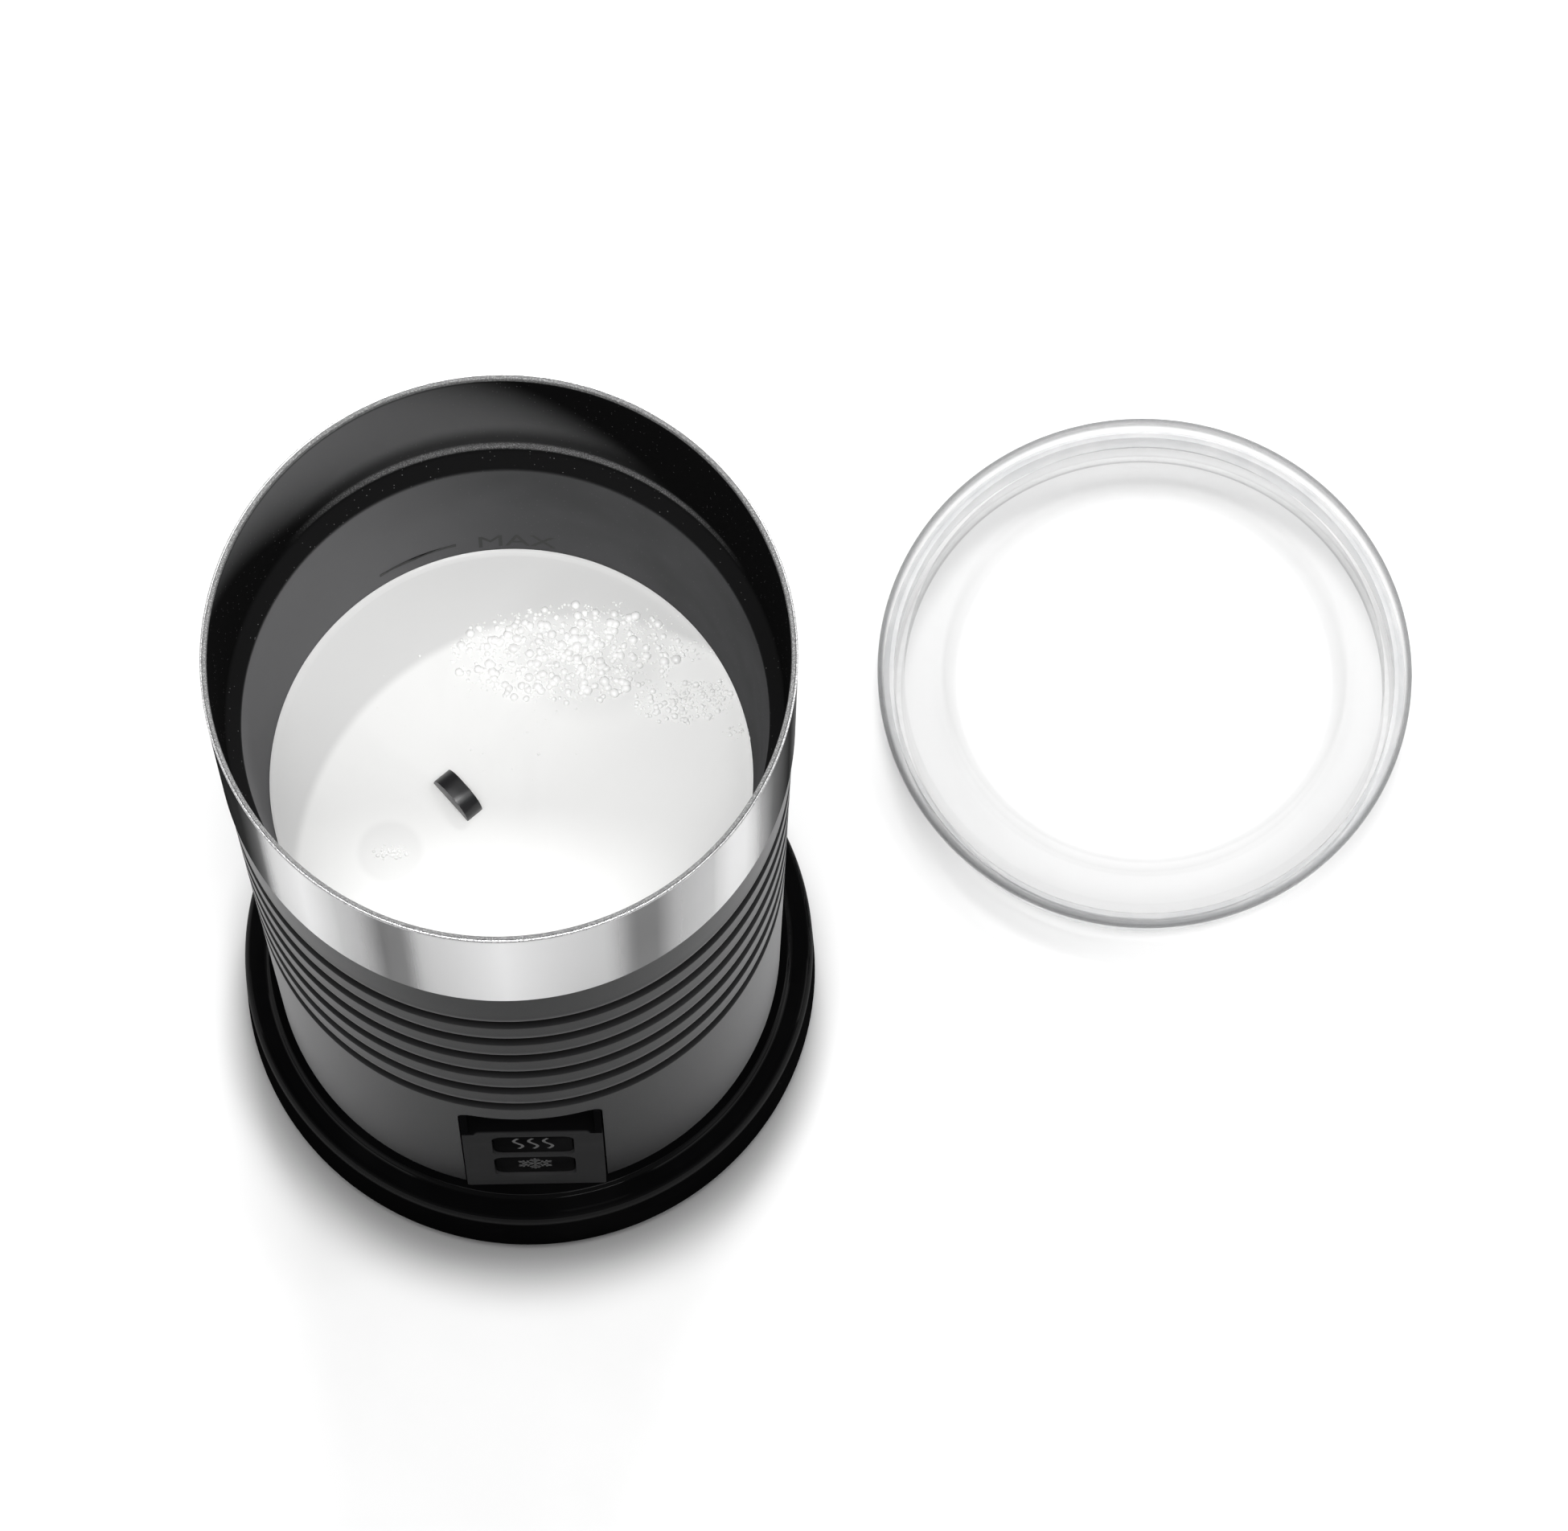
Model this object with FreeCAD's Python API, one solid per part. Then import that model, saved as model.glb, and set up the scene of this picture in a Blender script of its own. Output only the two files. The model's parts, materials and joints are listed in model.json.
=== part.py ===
import FreeCAD, Part
import math
import os

# Milk frother: a cordless jug on a power base, with its clear lid lying beside it.
# Millimetres, +Z up. The origin is the middle of the face that the base stands on. The front is -Y.

# Jug outside
rim_radius = 48.5
rim_height = 184.0
band_foot_radius = 47.9
band_foot_height = 147.9
sleeve_top_radius = 47.6
sleeve_top_height = 147.4
sleeve_foot_radius = 44.8
sleeve_foot_height = 19.5
sleeve_wall = 2.4
steel_wall = 0.4
gasket_seat_height = band_foot_height + steel_wall
shell_foot_height = 24.0

# Grip grooves round the sleeve
groove_count = 6
groove_pitch = 10.9
groove_top_height = 130.6
groove_depth = 1.15
groove_roll = 4.6
groove_lip = 1.7

# Pot inside
pot_wall = 0.8
pot_rim_radius = rim_radius - steel_wall - 0.6
shoulder_outer_radius = 46.1
shoulder_top_height = 152.9
shoulder_inner_radius = 43.7
shoulder_foot_height = 150.2
floor_height = 68.0
floor_radius = 36.4
floor_fillet = 5.0
pot_underside = floor_height - pot_wall

# Base
base_radius = 51.0
base_wall = 2.0
seat_radius = 46.2
seat_height = 19.0
base_skirt_height = 1.2
plate_thickness = 2.0
foot_inner_radius = 39.0
foot_outer_radius = 45.0
foot_recess = 0.8
base_fixing_circle = 35.0
base_screw_tip = 12.0
gland_height = 9.2
gland_bore = 3.1
gland_sleeve_radius = 4.6
gland_flange_radius = 5.7
gland_inner_end = 45.0

# Screws that hold the base's plate and the jug's cap
screw_head_radius = 2.8
screw_shank_radius = 1.25
screw_hole_radius = 1.5
screw_recess_radius = 3.1
screw_pilot_radius = 1.3
screw_play = 0.1
cap_screw_tip = 32.0

# Round connector between base and jug
post_radius = 9.4
post_height = 31.0
slot_inner_radius = 4.6
slot_outer_radius = 6.9
pin_hole_radius = 2.2
post_flange_radius = 13.4
post_foot_height = 14.4
contact_slot_foot = 18.0
contact_top = 28.5
contact_wall = 0.4
socket_gap = 0.6
socket_wall = 2.0
socket_pin_radius = 1.2
socket_ring_radius = 6.1
socket_ring_wall = 0.8
socket_contact_foot = 20.6

# Whisk and its magnetic drive
whisk_x = -9.0
whisk_y = -3.0
whisk_foot_radius = 11.0
whisk_foot_bottom = floor_height + 0.5
whisk_foot_top = whisk_foot_bottom + 7.0
whisk_tip_height = 121.5
whisk_pin_radius = 1.5
running_clearance = 0.06
tab_length = 8.8
tab_width = 3.2
tab_crest = 3.7
tab_turn = -50.0
whisk_magnet_radius = 9.5
whisk_hub_radius = 3.2
coil_ring_radius = 13.2
coil_radius = 2.15
shaft_radius = 1.5
shaft_foot = 37.0
shaft_top = 64.0
bush_radius = 2.8
bush_recess = 2.0
motor_radius = 11.5
motor_foot = 34.6
motor_boss_radius = 3.6
motor_screw_circle = 8.2
carrier_radius = 12.0
carrier_foot = 58.9
carrier_top = 64.4
magnet_circle = 7.4
magnet_radius = 3.1
magnet_height = 2.6

# Inner frame under the pot
frame_plate_bottom = 54.0
frame_plate_top = 56.5
frame_plate_radius = 36.8
leg_circle = 34.2
leg_radius = 3.4
leg_angles = (90.0, 210.0, 330.0)
leg_pin_radius = 2.5
heat_plate_bottom = pot_underside - 1.5
heat_plate_opening = 13.6
element_circle = 28.0
element_radius = 2.0
element_gap = 18.0
thermostat_x = 14.0
thermostat_y = 11.0
thermostat_radius = 5.0
cap_bottom = 19.2
cap_top = 21.6

# Button panel on the front
panel_x = 1.2
panel_width = 24.4
panel_gap = 0.3
panel_face_y = -44.3
panel_wall = 2.0
panel_back_y = -39.4
panel_ledge_height = 52.5
scoop_wall = 1.2
window_top_height = 68.0
button_width = 13.7
button_height = 11.4
button_corner = 1.8
button_gap = 0.3
button_inset = 0.5
button_travel = 1.0
button_heights = {"hot_button": 44.9, "cold_button": 31.7}
board_front_y = -33.1
board_thickness = 1.6
control_board_width = 28.0
control_board_top = 52.0
power_board_width = 44.0
power_board_front_y = 24.0
power_board_top = 50.0

# Lid, lying right side up beside the base
lid_x = 111.4
lid_y = 52.0
lid_radius = 48.2
lid_top_height = 12.5
lid_wall = 2.2
dish_top_radius = 36.6
dish_floor_radius = 34.3
dish_depth = 5.6
skirt_radius = 45.2
skirt_wall = 1.8

UP = FreeCAD.Vector(0, 0, 1)
INWARD = FreeCAD.Vector(0, 1, 0)


def rounded_wire(corners, place):
    """Closed wire through the corners (a, b) or (a, b, fillet radius), each put in space by place(a, b)."""
    points = [place(c[0], c[1]) for c in corners]
    radii = [c[2] if len(c) > 2 else 0.0 for c in corners]
    count = len(points)
    arcs = []
    for i in range(count):
        before = (points[i - 1] - points[i]).normalize()
        after = (points[(i + 1) % count] - points[i]).normalize()
        if radii[i] == 0.0:
            arcs.append((points[i], None, points[i]))
            continue
        half = before.getAngle(after) / 2.0
        cut = radii[i] / math.tan(half)
        bisector = (before + after).normalize()
        middle = points[i] + bisector * (radii[i] / math.sin(half) - radii[i])
        arcs.append((points[i] + before * cut, middle, points[i] + after * cut))
    edges = []
    for i in range(count):
        start = arcs[i - 1][2]
        first, middle, last = arcs[i]
        if start.distanceToPoint(first) > 1e-6:
            edges.append(Part.LineSegment(start, first).toShape())
        if middle is not None:
            edges.append(Part.Arc(first, middle, last).toShape())
    return Part.Wire(edges)


def turned(corners, x=0.0, y=0.0):
    """Solid of revolution about the upright axis through (x, y), from (radius, height) corners."""
    wire = rounded_wire(corners, lambda a, b: FreeCAD.Vector(a, 0, b))
    solid = Part.Face(wire).revolve(FreeCAD.Vector(0, 0, 0), UP, 360)
    solid.translate(FreeCAD.Vector(x, y, 0))
    return solid


def tube(outer, inner, low, high, x=0.0, y=0.0):
    return turned([(inner, low), (outer, low), (outer, high), (inner, high)], x, y)


def rod(radius, low, high, x=0.0, y=0.0):
    return Part.makeCylinder(radius, high - low, FreeCAD.Vector(x, y, low), UP)


def level_rod(radius, x, z, y_front, y_back):
    return Part.makeCylinder(radius, y_back - y_front, FreeCAD.Vector(x, y_front, z), INWARD)


def block(x0, x1, y0, y1, z0, z1):
    return Part.makeBox(x1 - x0, y1 - y0, z1 - z0, FreeCAD.Vector(x0, y0, z0))


def slab(x, z_low, z_high, width, corner, y_front, y_back):
    """Upright plate facing the front, with rounded corners."""
    half = width / 2.0
    corners = [(x - half, z_low, corner), (x + half, z_low, corner)]
    corners += [(x + half, z_high, corner), (x - half, z_high, corner)]
    wire = rounded_wire(corners, lambda a, b: FreeCAD.Vector(a, y_front, b))
    return Part.Face(wire).extrude(INWARD * (y_back - y_front))


def on_circle(radius, angle):
    turn = math.radians(angle)
    return radius * math.cos(turn), radius * math.sin(turn)


def sleeve_radius(z):
    """Outer radius of the sleeve's plain taper at a height."""
    share = (z - sleeve_foot_height) / (sleeve_top_height - sleeve_foot_height)
    return sleeve_foot_radius + share * (sleeve_top_radius - sleeve_foot_radius)


def save(name, *solids):
    shape = solids[0] if len(solids) == 1 else Part.makeCompound(list(solids))
    shape.exportStep("parts/" + name + ".step")
    print(name, "solids", len(shape.Solids), "valid", shape.isValid(), "volume", round(shape.Volume, 1))


# ---------------------------------------------------------------- base


def base_screw_places():
    return [on_circle(base_fixing_circle, angle) for angle in (45.0, 135.0, 225.0, 315.0)]


def base_shell():
    inner = base_radius - base_wall
    corners = [
        (inner, base_skirt_height),
        (base_radius - 0.7, base_skirt_height, 0.5),
        (base_radius, 3.0, 1.0),
        (base_radius - 0.4, 17.2, 2.6),
        (seat_radius + 0.5, 18.3, 0.3),
        (seat_radius, seat_height, 0.3),
        (post_radius + 0.3, seat_height),
        (post_radius + 0.3, seat_height - base_wall),
        (seat_radius - 0.6, seat_height - base_wall, 0.5),
        (base_radius - 2.6, 15.3, 1.4),
    ]
    shell = turned(corners)
    underside = seat_height - base_wall
    for x, y in base_screw_places():
        boss = rod(screw_recess_radius + 0.1, base_skirt_height + plate_thickness, underside, x, y)
        pilot = rod(screw_pilot_radius, 0.0, base_screw_tip + 0.6, x, y)
        shell = shell.fuse(boss).cut(pilot)
    gland_hole = level_rod(gland_sleeve_radius, 0.0, gland_height, gland_inner_end - 1.0, base_radius + 5.0)
    return shell.cut(gland_hole).removeSplitter()


def bottom_plate():
    low = base_skirt_height
    top = low + plate_thickness
    plate = rod(base_radius - base_wall - 0.1, low, top)
    # upstand that holds the connector post against the shell
    upstand = tube(post_flange_radius + 0.2, post_flange_radius - 1.8, top, post_foot_height)
    plate = plate.fuse(upstand)
    plate = plate.cut(tube(foot_outer_radius, foot_inner_radius, 0.0, low + foot_recess))
    for x, y in base_screw_places():
        plate = plate.cut(rod(screw_hole_radius, 0.0, top + 1.0, x, y))
        plate = plate.cut(rod(screw_recess_radius, 0.0, low + foot_recess, x, y))
    return plate.removeSplitter()


def foot_ring():
    top = base_skirt_height + foot_recess
    corners = [
        (foot_inner_radius, 0.0, 0.4),
        (foot_outer_radius, 0.0, 0.4),
        (foot_outer_radius, top),
        (foot_inner_radius, top),
    ]
    return turned(corners)


def screw(x, y, head_low, head_high, tip):
    """Cross-headed screw, head down, that points up to the tip."""
    head = rod(screw_head_radius, head_low, head_high, x, y)
    body = head.fuse(rod(screw_shank_radius, head_low, tip, x, y))
    for wide, deep in ((1.8, 0.4), (0.4, 1.8)):
        body = body.cut(block(x - wide, x + wide, y - deep, y + deep, head_low - 1.0, head_low + 0.5))
    return body.removeSplitter()


def base_screws():
    low = base_skirt_height + screw_play
    high = base_skirt_height + foot_recess
    return [screw(x, y, low, high, base_screw_tip) for x, y in base_screw_places()]


def connector_post():
    underside = seat_height - base_wall
    corners = [
        (pin_hole_radius, post_foot_height),
        (post_flange_radius, post_foot_height),
        (post_flange_radius, underside),
        (post_radius, underside),
        (post_radius, post_height, 0.8),
        (slot_outer_radius, post_height, 0.3),
        (slot_outer_radius, contact_slot_foot),
        (slot_inner_radius, contact_slot_foot),
        (slot_inner_radius, post_height, 0.3),
        (pin_hole_radius, post_height, 0.4),
    ]
    return turned(corners)


def base_contacts():
    sleeve = tube(pin_hole_radius, pin_hole_radius - contact_wall - 0.1, contact_slot_foot - 1.0, contact_top)
    ring = tube(slot_outer_radius, slot_outer_radius - contact_wall, contact_slot_foot, contact_top)
    return [sleeve, ring]


def cord_gland():
    outer_end = base_radius + 1.2
    sleeve = level_rod(gland_sleeve_radius, 0.0, gland_height, gland_inner_end, outer_end)
    flange = level_rod(gland_flange_radius, 0.0, gland_height, base_radius, outer_end)
    bore = level_rod(gland_bore, 0.0, gland_height, gland_inner_end - 5.0, outer_end + 5.0)
    gland = sleeve.fuse(flange).cut(bore)
    return gland.removeSplitter()


def terminal_block():
    low = base_skirt_height + plate_thickness
    body = block(-8.0, 8.0, 22.0, 31.0, low, low + 7.0)
    for x in (-4.0, 4.0):
        body = body.cut(level_rod(1.6, x, low + 3.4, 20.0, 33.0))
        body = body.cut(rod(1.6, low + 4.0, low + 8.0, x, 26.5))
    return body


# ---------------------------------------------------------------- jug body


def grip_sleeve():
    corners = [(sleeve_foot_radius - sleeve_wall, sleeve_foot_height, 0.3)]
    corners.append((sleeve_foot_radius, sleeve_foot_height, 0.6))
    for i in reversed(range(groove_count)):
        z = groove_top_height - i * groove_pitch
        corners.append((sleeve_radius(z - groove_lip), z - groove_lip, 0.8))
        corners.append((sleeve_radius(z) - groove_depth, z - 0.3, 0.7))
        corners.append((sleeve_radius(z + groove_roll) - 0.1, z + groove_roll, 4.0))
    corners.append((sleeve_top_radius, sleeve_top_height, 0.4))
    corners.append((sleeve_top_radius - sleeve_wall, sleeve_top_height))
    sleeve = turned(corners)
    return sleeve.cut(panel_window(panel_gap)).removeSplitter()


def panel_window(gap):
    """Upright opening through the front of the sleeve and the shell, wider than the panel by the gap."""
    top = window_top_height
    return slab(panel_x, 0.0, top, panel_width + 2 * gap, 3.0, -60.0, -34.0)


def steel_shell():
    step_radius = sleeve_top_radius - sleeve_wall
    foot_radius = sleeve_radius(shell_foot_height) - sleeve_wall
    outside = [
        (foot_radius, shell_foot_height),
        (step_radius, sleeve_top_height),
        (band_foot_radius, band_foot_height, 0.3),
        (rim_radius, rim_height, 0.15),
    ]
    inside = [
        (rim_radius - steel_wall, rim_height, 0.15),
        (band_foot_radius - steel_wall, gasket_seat_height),
        (step_radius - steel_wall, gasket_seat_height),
        (foot_radius - steel_wall, shell_foot_height),
    ]
    return turned(outside + inside).cut(panel_window(panel_gap))


def inner_pot():
    inside = [
        (0.0, floor_height),
        (floor_radius, floor_height, floor_fillet),
        (shoulder_inner_radius, shoulder_foot_height, 1.2),
        (shoulder_outer_radius, shoulder_top_height, 1.6),
        (pot_rim_radius, rim_height, 0.2),
    ]
    outside = [
        (rim_radius - steel_wall - 0.02, rim_height),
        (rim_radius - steel_wall - 0.02, rim_height - 0.6),
        (shoulder_outer_radius + pot_wall, shoulder_top_height - 0.3, 1.6),
        (shoulder_inner_radius + pot_wall, shoulder_foot_height - pot_wall, 1.2),
        (floor_radius + pot_wall, pot_underside, floor_fillet + pot_wall),
        (0.0, pot_underside),
    ]
    pot = turned(inside + outside)
    return pot.cut(rod(whisk_pin_radius, 60.0, 80.0, whisk_x, whisk_y))


def whisk_pin():
    pin = rod(whisk_pin_radius, pot_underside, whisk_foot_bottom + 5.2, whisk_x, whisk_y)
    head = rod(whisk_pin_radius + 1.5, pot_underside - 1.0, pot_underside, whisk_x, whisk_y)
    return pin.fuse(head).removeSplitter()


def pot_gasket():
    top = shoulder_foot_height - pot_wall - 0.1
    return tube(shoulder_outer_radius + 0.7, shoulder_inner_radius + 1.1, gasket_seat_height, top)


def bottom_cap():
    outer = sleeve_foot_radius - sleeve_wall - 0.1
    cap = tube(outer, post_radius + socket_gap + socket_wall, cap_bottom, cap_top)
    for angle in leg_angles:
        x, y = on_circle(leg_circle, angle)
        cap = cap.cut(rod(screw_hole_radius, cap_bottom - 5.0, cap_top + 5.0, x, y))
        cap = cap.cut(rod(screw_recess_radius, cap_bottom - 5.0, cap_bottom + 1.0, x, y))
    half = panel_width / 2.0 + 0.1
    return cap.cut(block(panel_x - half, panel_x + half, -60.0, panel_back_y + 0.1, 10.0, 30.0))


def cap_screws():
    low = cap_bottom + screw_play
    places = [on_circle(leg_circle, angle) for angle in leg_angles]
    return [screw(x, y, low, cap_bottom + 1.0, cap_screw_tip) for x, y in places]


def connector_socket():
    inner = post_radius + socket_gap
    outer = inner + socket_wall
    corners = [
        (0.0, post_height + 0.4),
        (inner, post_height + 0.4, 0.6),
        (inner, cap_bottom),
        (outer, cap_bottom),
        (outer, cap_top),
        (outer + 2.4, cap_top),
        (outer + 2.4, cap_top + 1.6),
        (outer, cap_top + 1.6),
        (outer, post_height + 2.0, 0.8),
        (0.0, post_height + 2.0),
    ]
    return turned(corners)


def socket_contacts():
    top = post_height + 0.4
    pin = rod(socket_pin_radius, socket_contact_foot, top)
    ring = tube(socket_ring_radius, socket_ring_radius - socket_ring_wall, socket_contact_foot, top)
    return [pin, ring]


def inner_frame():
    frame = rod(frame_plate_radius, frame_plate_bottom, frame_plate_top)
    for angle in leg_angles:
        x, y = on_circle(leg_circle, angle)
        frame = frame.fuse(rod(leg_radius, cap_top, frame_plate_bottom, x, y))
        frame = frame.fuse(rod(leg_pin_radius, frame_plate_top, heat_plate_bottom, x, y))
        frame = frame.cut(rod(screw_pilot_radius, cap_bottom, cap_screw_tip + 1.0, x, y))
    frame = frame.cut(rod(motor_boss_radius, frame_plate_bottom - 4.0, frame_plate_top + 4.0, whisk_x, whisk_y))
    for x, y in motor_screw_places():
        frame = frame.cut(rod(1.1, frame_plate_bottom - 4.0, frame_plate_top + 4.0, x, y))
    return frame.removeSplitter()


def heat_plate():
    plate = rod(frame_plate_radius, heat_plate_bottom, pot_underside)
    return plate.cut(rod(heat_plate_opening, heat_plate_bottom - 5.0, pot_underside + 5.0, whisk_x, whisk_y))


def heating_element():
    height = heat_plate_bottom - element_radius - 0.05
    ring = Part.makeTorus(element_circle, element_radius, FreeCAD.Vector(0, 0, height), UP)
    half = element_gap / 2.0
    element = ring.cut(block(0.0, element_circle + 10.0, -half, half, height - 5.0, height + 5.0))
    # cold ends that turn down to the wiring
    end_y = half + 1.6
    end_x = math.sqrt(element_circle**2 - end_y**2) + 0.3
    ends = [rod(1.2, frame_plate_top + 0.4, height, end_x, side * end_y) for side in (-1.0, 1.0)]
    return element.fuse(ends).removeSplitter()


def thermostat():
    step = heat_plate_bottom - 4.2
    foot = heat_plate_bottom - 6.0
    body = rod(thermostat_radius, step, heat_plate_bottom, thermostat_x, thermostat_y)
    neck = rod(thermostat_radius - 1.6, foot, step, thermostat_x, thermostat_y)
    return body.fuse(neck).removeSplitter()


# ---------------------------------------------------------------- button panel


def button_panel():
    half = panel_width / 2.0
    low = sleeve_foot_height + 0.3
    high = window_top_height - panel_gap
    panel = slab(panel_x, low, high, panel_width, 2.7, panel_face_y, panel_back_y)
    floor_of_panel = block(panel_x - half, panel_x + half, panel_face_y, panel_back_y, low, low + 3.0)
    panel = panel.fuse(floor_of_panel)
    # thumb scoop above the flat face
    scoop_reach = 3.6
    scoop_radius = (high - panel_ledge_height) * 0.62
    scoop_height = panel_ledge_height + math.sqrt(scoop_radius**2 - scoop_reach**2)
    scoop = Part.makeCylinder(
        scoop_radius,
        panel_width - 2 * scoop_wall,
        FreeCAD.Vector(panel_x - half + scoop_wall, panel_face_y - scoop_reach, scoop_height),
        FreeCAD.Vector(1, 0, 0),
    )
    deepest = panel_face_y - scoop_reach + scoop_radius
    back = slab(
        panel_x, panel_ledge_height - 2.0, high, panel_width, 2.7, panel_back_y, deepest + scoop_wall
    )
    panel = panel.fuse(back).cut(scoop)
    # hollow behind the flat face
    hollow_top = panel_ledge_height - 1.2
    hollow = block(
        panel_x - half + 1.8, panel_x + half - 1.8, panel_face_y + panel_wall, panel_back_y, low + 1.8, hollow_top
    )
    panel = panel.cut(hollow)
    for height in button_heights.values():
        low_edge = height - button_height / 2.0 - button_gap
        high_edge = height + button_height / 2.0 + button_gap
        width = button_width + 2 * button_gap
        panel = panel.cut(
            slab(panel_x, low_edge, high_edge, width, button_corner + button_gap, -60.0, panel_back_y)
        )
    return panel.removeSplitter()


def button(height):
    low = height - button_height / 2.0
    high = height + button_height / 2.0
    front = panel_face_y + button_inset
    flange_front = panel_face_y + panel_wall + 0.3
    flange_back = flange_front + 0.9
    cap = slab(panel_x, low, high, button_width, button_corner, front, flange_front)
    flange = slab(panel_x, low - 0.4, high + 0.4, button_width + 2.4, button_corner, flange_front, flange_back)
    plunger = level_rod(1.6, panel_x, height, flange_back, switch_tip_y() - button_travel - 0.2)
    return cap.fuse(flange).fuse(plunger).removeSplitter()


def switch_tip_y():
    return board_front_y - 4.6


def tact_switches():
    switches = []
    for height in button_heights.values():
        body = block(panel_x - 3.0, panel_x + 3.0, board_front_y - 3.5, board_front_y, height - 3.0, height + 3.0)
        stem = level_rod(1.7, panel_x, height, switch_tip_y(), board_front_y - 3.5)
        switches.append(body.fuse(stem).removeSplitter())
    return switches


def control_board():
    half = control_board_width / 2.0
    back = board_front_y + board_thickness
    return block(panel_x - half, panel_x + half, board_front_y, back, cap_top, control_board_top)


def power_board():
    half = power_board_width / 2.0
    front = power_board_front_y
    board = block(-half, half, front, front + board_thickness, cap_top, power_board_top)
    relay = block(-half + 2.0, -4.0, front - 11.0, front, 36.0, power_board_top - 2.0)
    capacitor = rod(5.0, 35.0, power_board_top - 1.0, 11.0, front - 4.8)
    return board.fuse(relay).fuse(capacitor).removeSplitter()


# ---------------------------------------------------------------- drive and whisk


def motor_screw_places():
    places = []
    for angle in (40.0, 220.0):
        x, y = on_circle(motor_screw_circle, angle)
        places.append((whisk_x + x, whisk_y + y))
    return places


def motor_housing():
    shaft_room = shaft_radius + 0.4
    corners = [
        (shaft_room, shaft_foot - 1.0),
        (0.0, shaft_foot - 1.0),
        (0.0, motor_foot - 1.0),
        (4.0, motor_foot - 1.0),
        (4.0, motor_foot),
        (motor_radius, motor_foot, 0.8),
        (motor_radius, frame_plate_bottom, 0.4),
        (motor_boss_radius, frame_plate_bottom),
        (motor_boss_radius, frame_plate_top),
        (bush_radius, frame_plate_top),
        (bush_radius, frame_plate_bottom - bush_recess),
        (shaft_room, frame_plate_bottom - bush_recess),
    ]
    motor = turned(corners, whisk_x, whisk_y)
    for x, y in motor_screw_places():
        motor = motor.cut(rod(1.0, frame_plate_bottom - 6.0, frame_plate_top + 4.0, x, y))
    return motor


def motor_screws():
    screws = []
    for x, y in motor_screw_places():
        head = rod(1.9, frame_plate_top, frame_plate_top + 1.3, x, y)
        shank = rod(0.95, frame_plate_bottom - 4.0, frame_plate_top, x, y)
        screws.append(head.fuse(shank).removeSplitter())
    return screws


def shaft_bush():
    inner = shaft_radius + running_clearance
    foot = frame_plate_bottom - bush_recess
    return tube(bush_radius, inner, foot, frame_plate_top + 0.6, whisk_x, whisk_y)


def motor_shaft():
    return rod(shaft_radius, shaft_foot, shaft_top, whisk_x, whisk_y)


def magnet_carrier():
    low = carrier_foot
    corners = [
        (shaft_radius, low),
        (3.6, low),
        (3.6, low + 1.0),
        (carrier_radius, low + 1.0, 0.5),
        (carrier_radius, carrier_top, 0.5),
        (0.0, carrier_top),
        (0.0, shaft_top),
        (shaft_radius, shaft_top),
    ]
    carrier = turned(corners, whisk_x, whisk_y)
    for x, y in drive_magnet_places():
        carrier = carrier.cut(rod(magnet_radius, carrier_top - magnet_height, carrier_top + 1.0, x, y))
    return carrier


def drive_magnet_places():
    turns = [on_circle(magnet_circle, angle) for angle in (0.0, 90.0, 180.0, 270.0)]
    return [(whisk_x + x, whisk_y + y) for x, y in turns]


def drive_magnets():
    low = carrier_top - magnet_height
    return [rod(magnet_radius, low, carrier_top, x, y) for x, y in drive_magnet_places()]


def whisk_stem():
    bore = whisk_pin_radius + running_clearance
    bottom = whisk_foot_bottom
    corners = [
        (bore, bottom),
        (whisk_hub_radius, bottom),
        (whisk_hub_radius, bottom + 5.4),
        (whisk_magnet_radius + 0.1, bottom + 5.4),
        (whisk_magnet_radius + 0.1, bottom),
        (whisk_foot_radius, bottom, 0.5),
        (whisk_foot_radius, whisk_foot_top, 1.2),
        (4.2, whisk_foot_top + 0.8, 1.5),
        (2.6, whisk_foot_top + 8.0, 3.0),
        (2.1, whisk_tip_height - 7.0),
        (0.0, whisk_tip_height - 7.0),
        (0.0, bottom + 5.8),
        (bore, bottom + 5.8),
    ]
    stem = turned(corners, whisk_x, whisk_y)
    half = tab_length / 2.0
    thick = tab_width / 2.0
    tab_foot = whisk_tip_height - 8.5
    tab_waist = whisk_tip_height - 5.2
    tab_corners = [(-2.0, tab_foot), (2.0, tab_foot), (half, tab_waist, 1.4)]
    tab_corners += [(half, whisk_tip_height, tab_crest), (-half, whisk_tip_height, tab_crest)]
    tab_corners += [(-half, tab_waist, 1.4)]
    wire = rounded_wire(tab_corners, lambda a, b: FreeCAD.Vector(a, -thick, b))
    tab = Part.Face(wire).extrude(INWARD * tab_width)
    tab.rotate(FreeCAD.Vector(0, 0, 0), UP, tab_turn)
    tab.translate(FreeCAD.Vector(whisk_x, whisk_y, 0))
    return stem.fuse(tab).removeSplitter()


def whisk_magnet():
    low = whisk_foot_bottom + 1.3
    return tube(whisk_magnet_radius, whisk_hub_radius + 0.1, low, low + 4.0, whisk_x, whisk_y)


def whisk_foot_cap():
    low = whisk_foot_bottom
    return tube(whisk_magnet_radius + 0.1, whisk_hub_radius, low, low + 1.2, whisk_x, whisk_y)


def whisk_coil():
    centre = FreeCAD.Vector(whisk_x, whisk_y, whisk_foot_bottom + 3.6)
    return Part.makeTorus(coil_ring_radius, coil_radius, centre, UP)


# ---------------------------------------------------------------- lid


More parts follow.
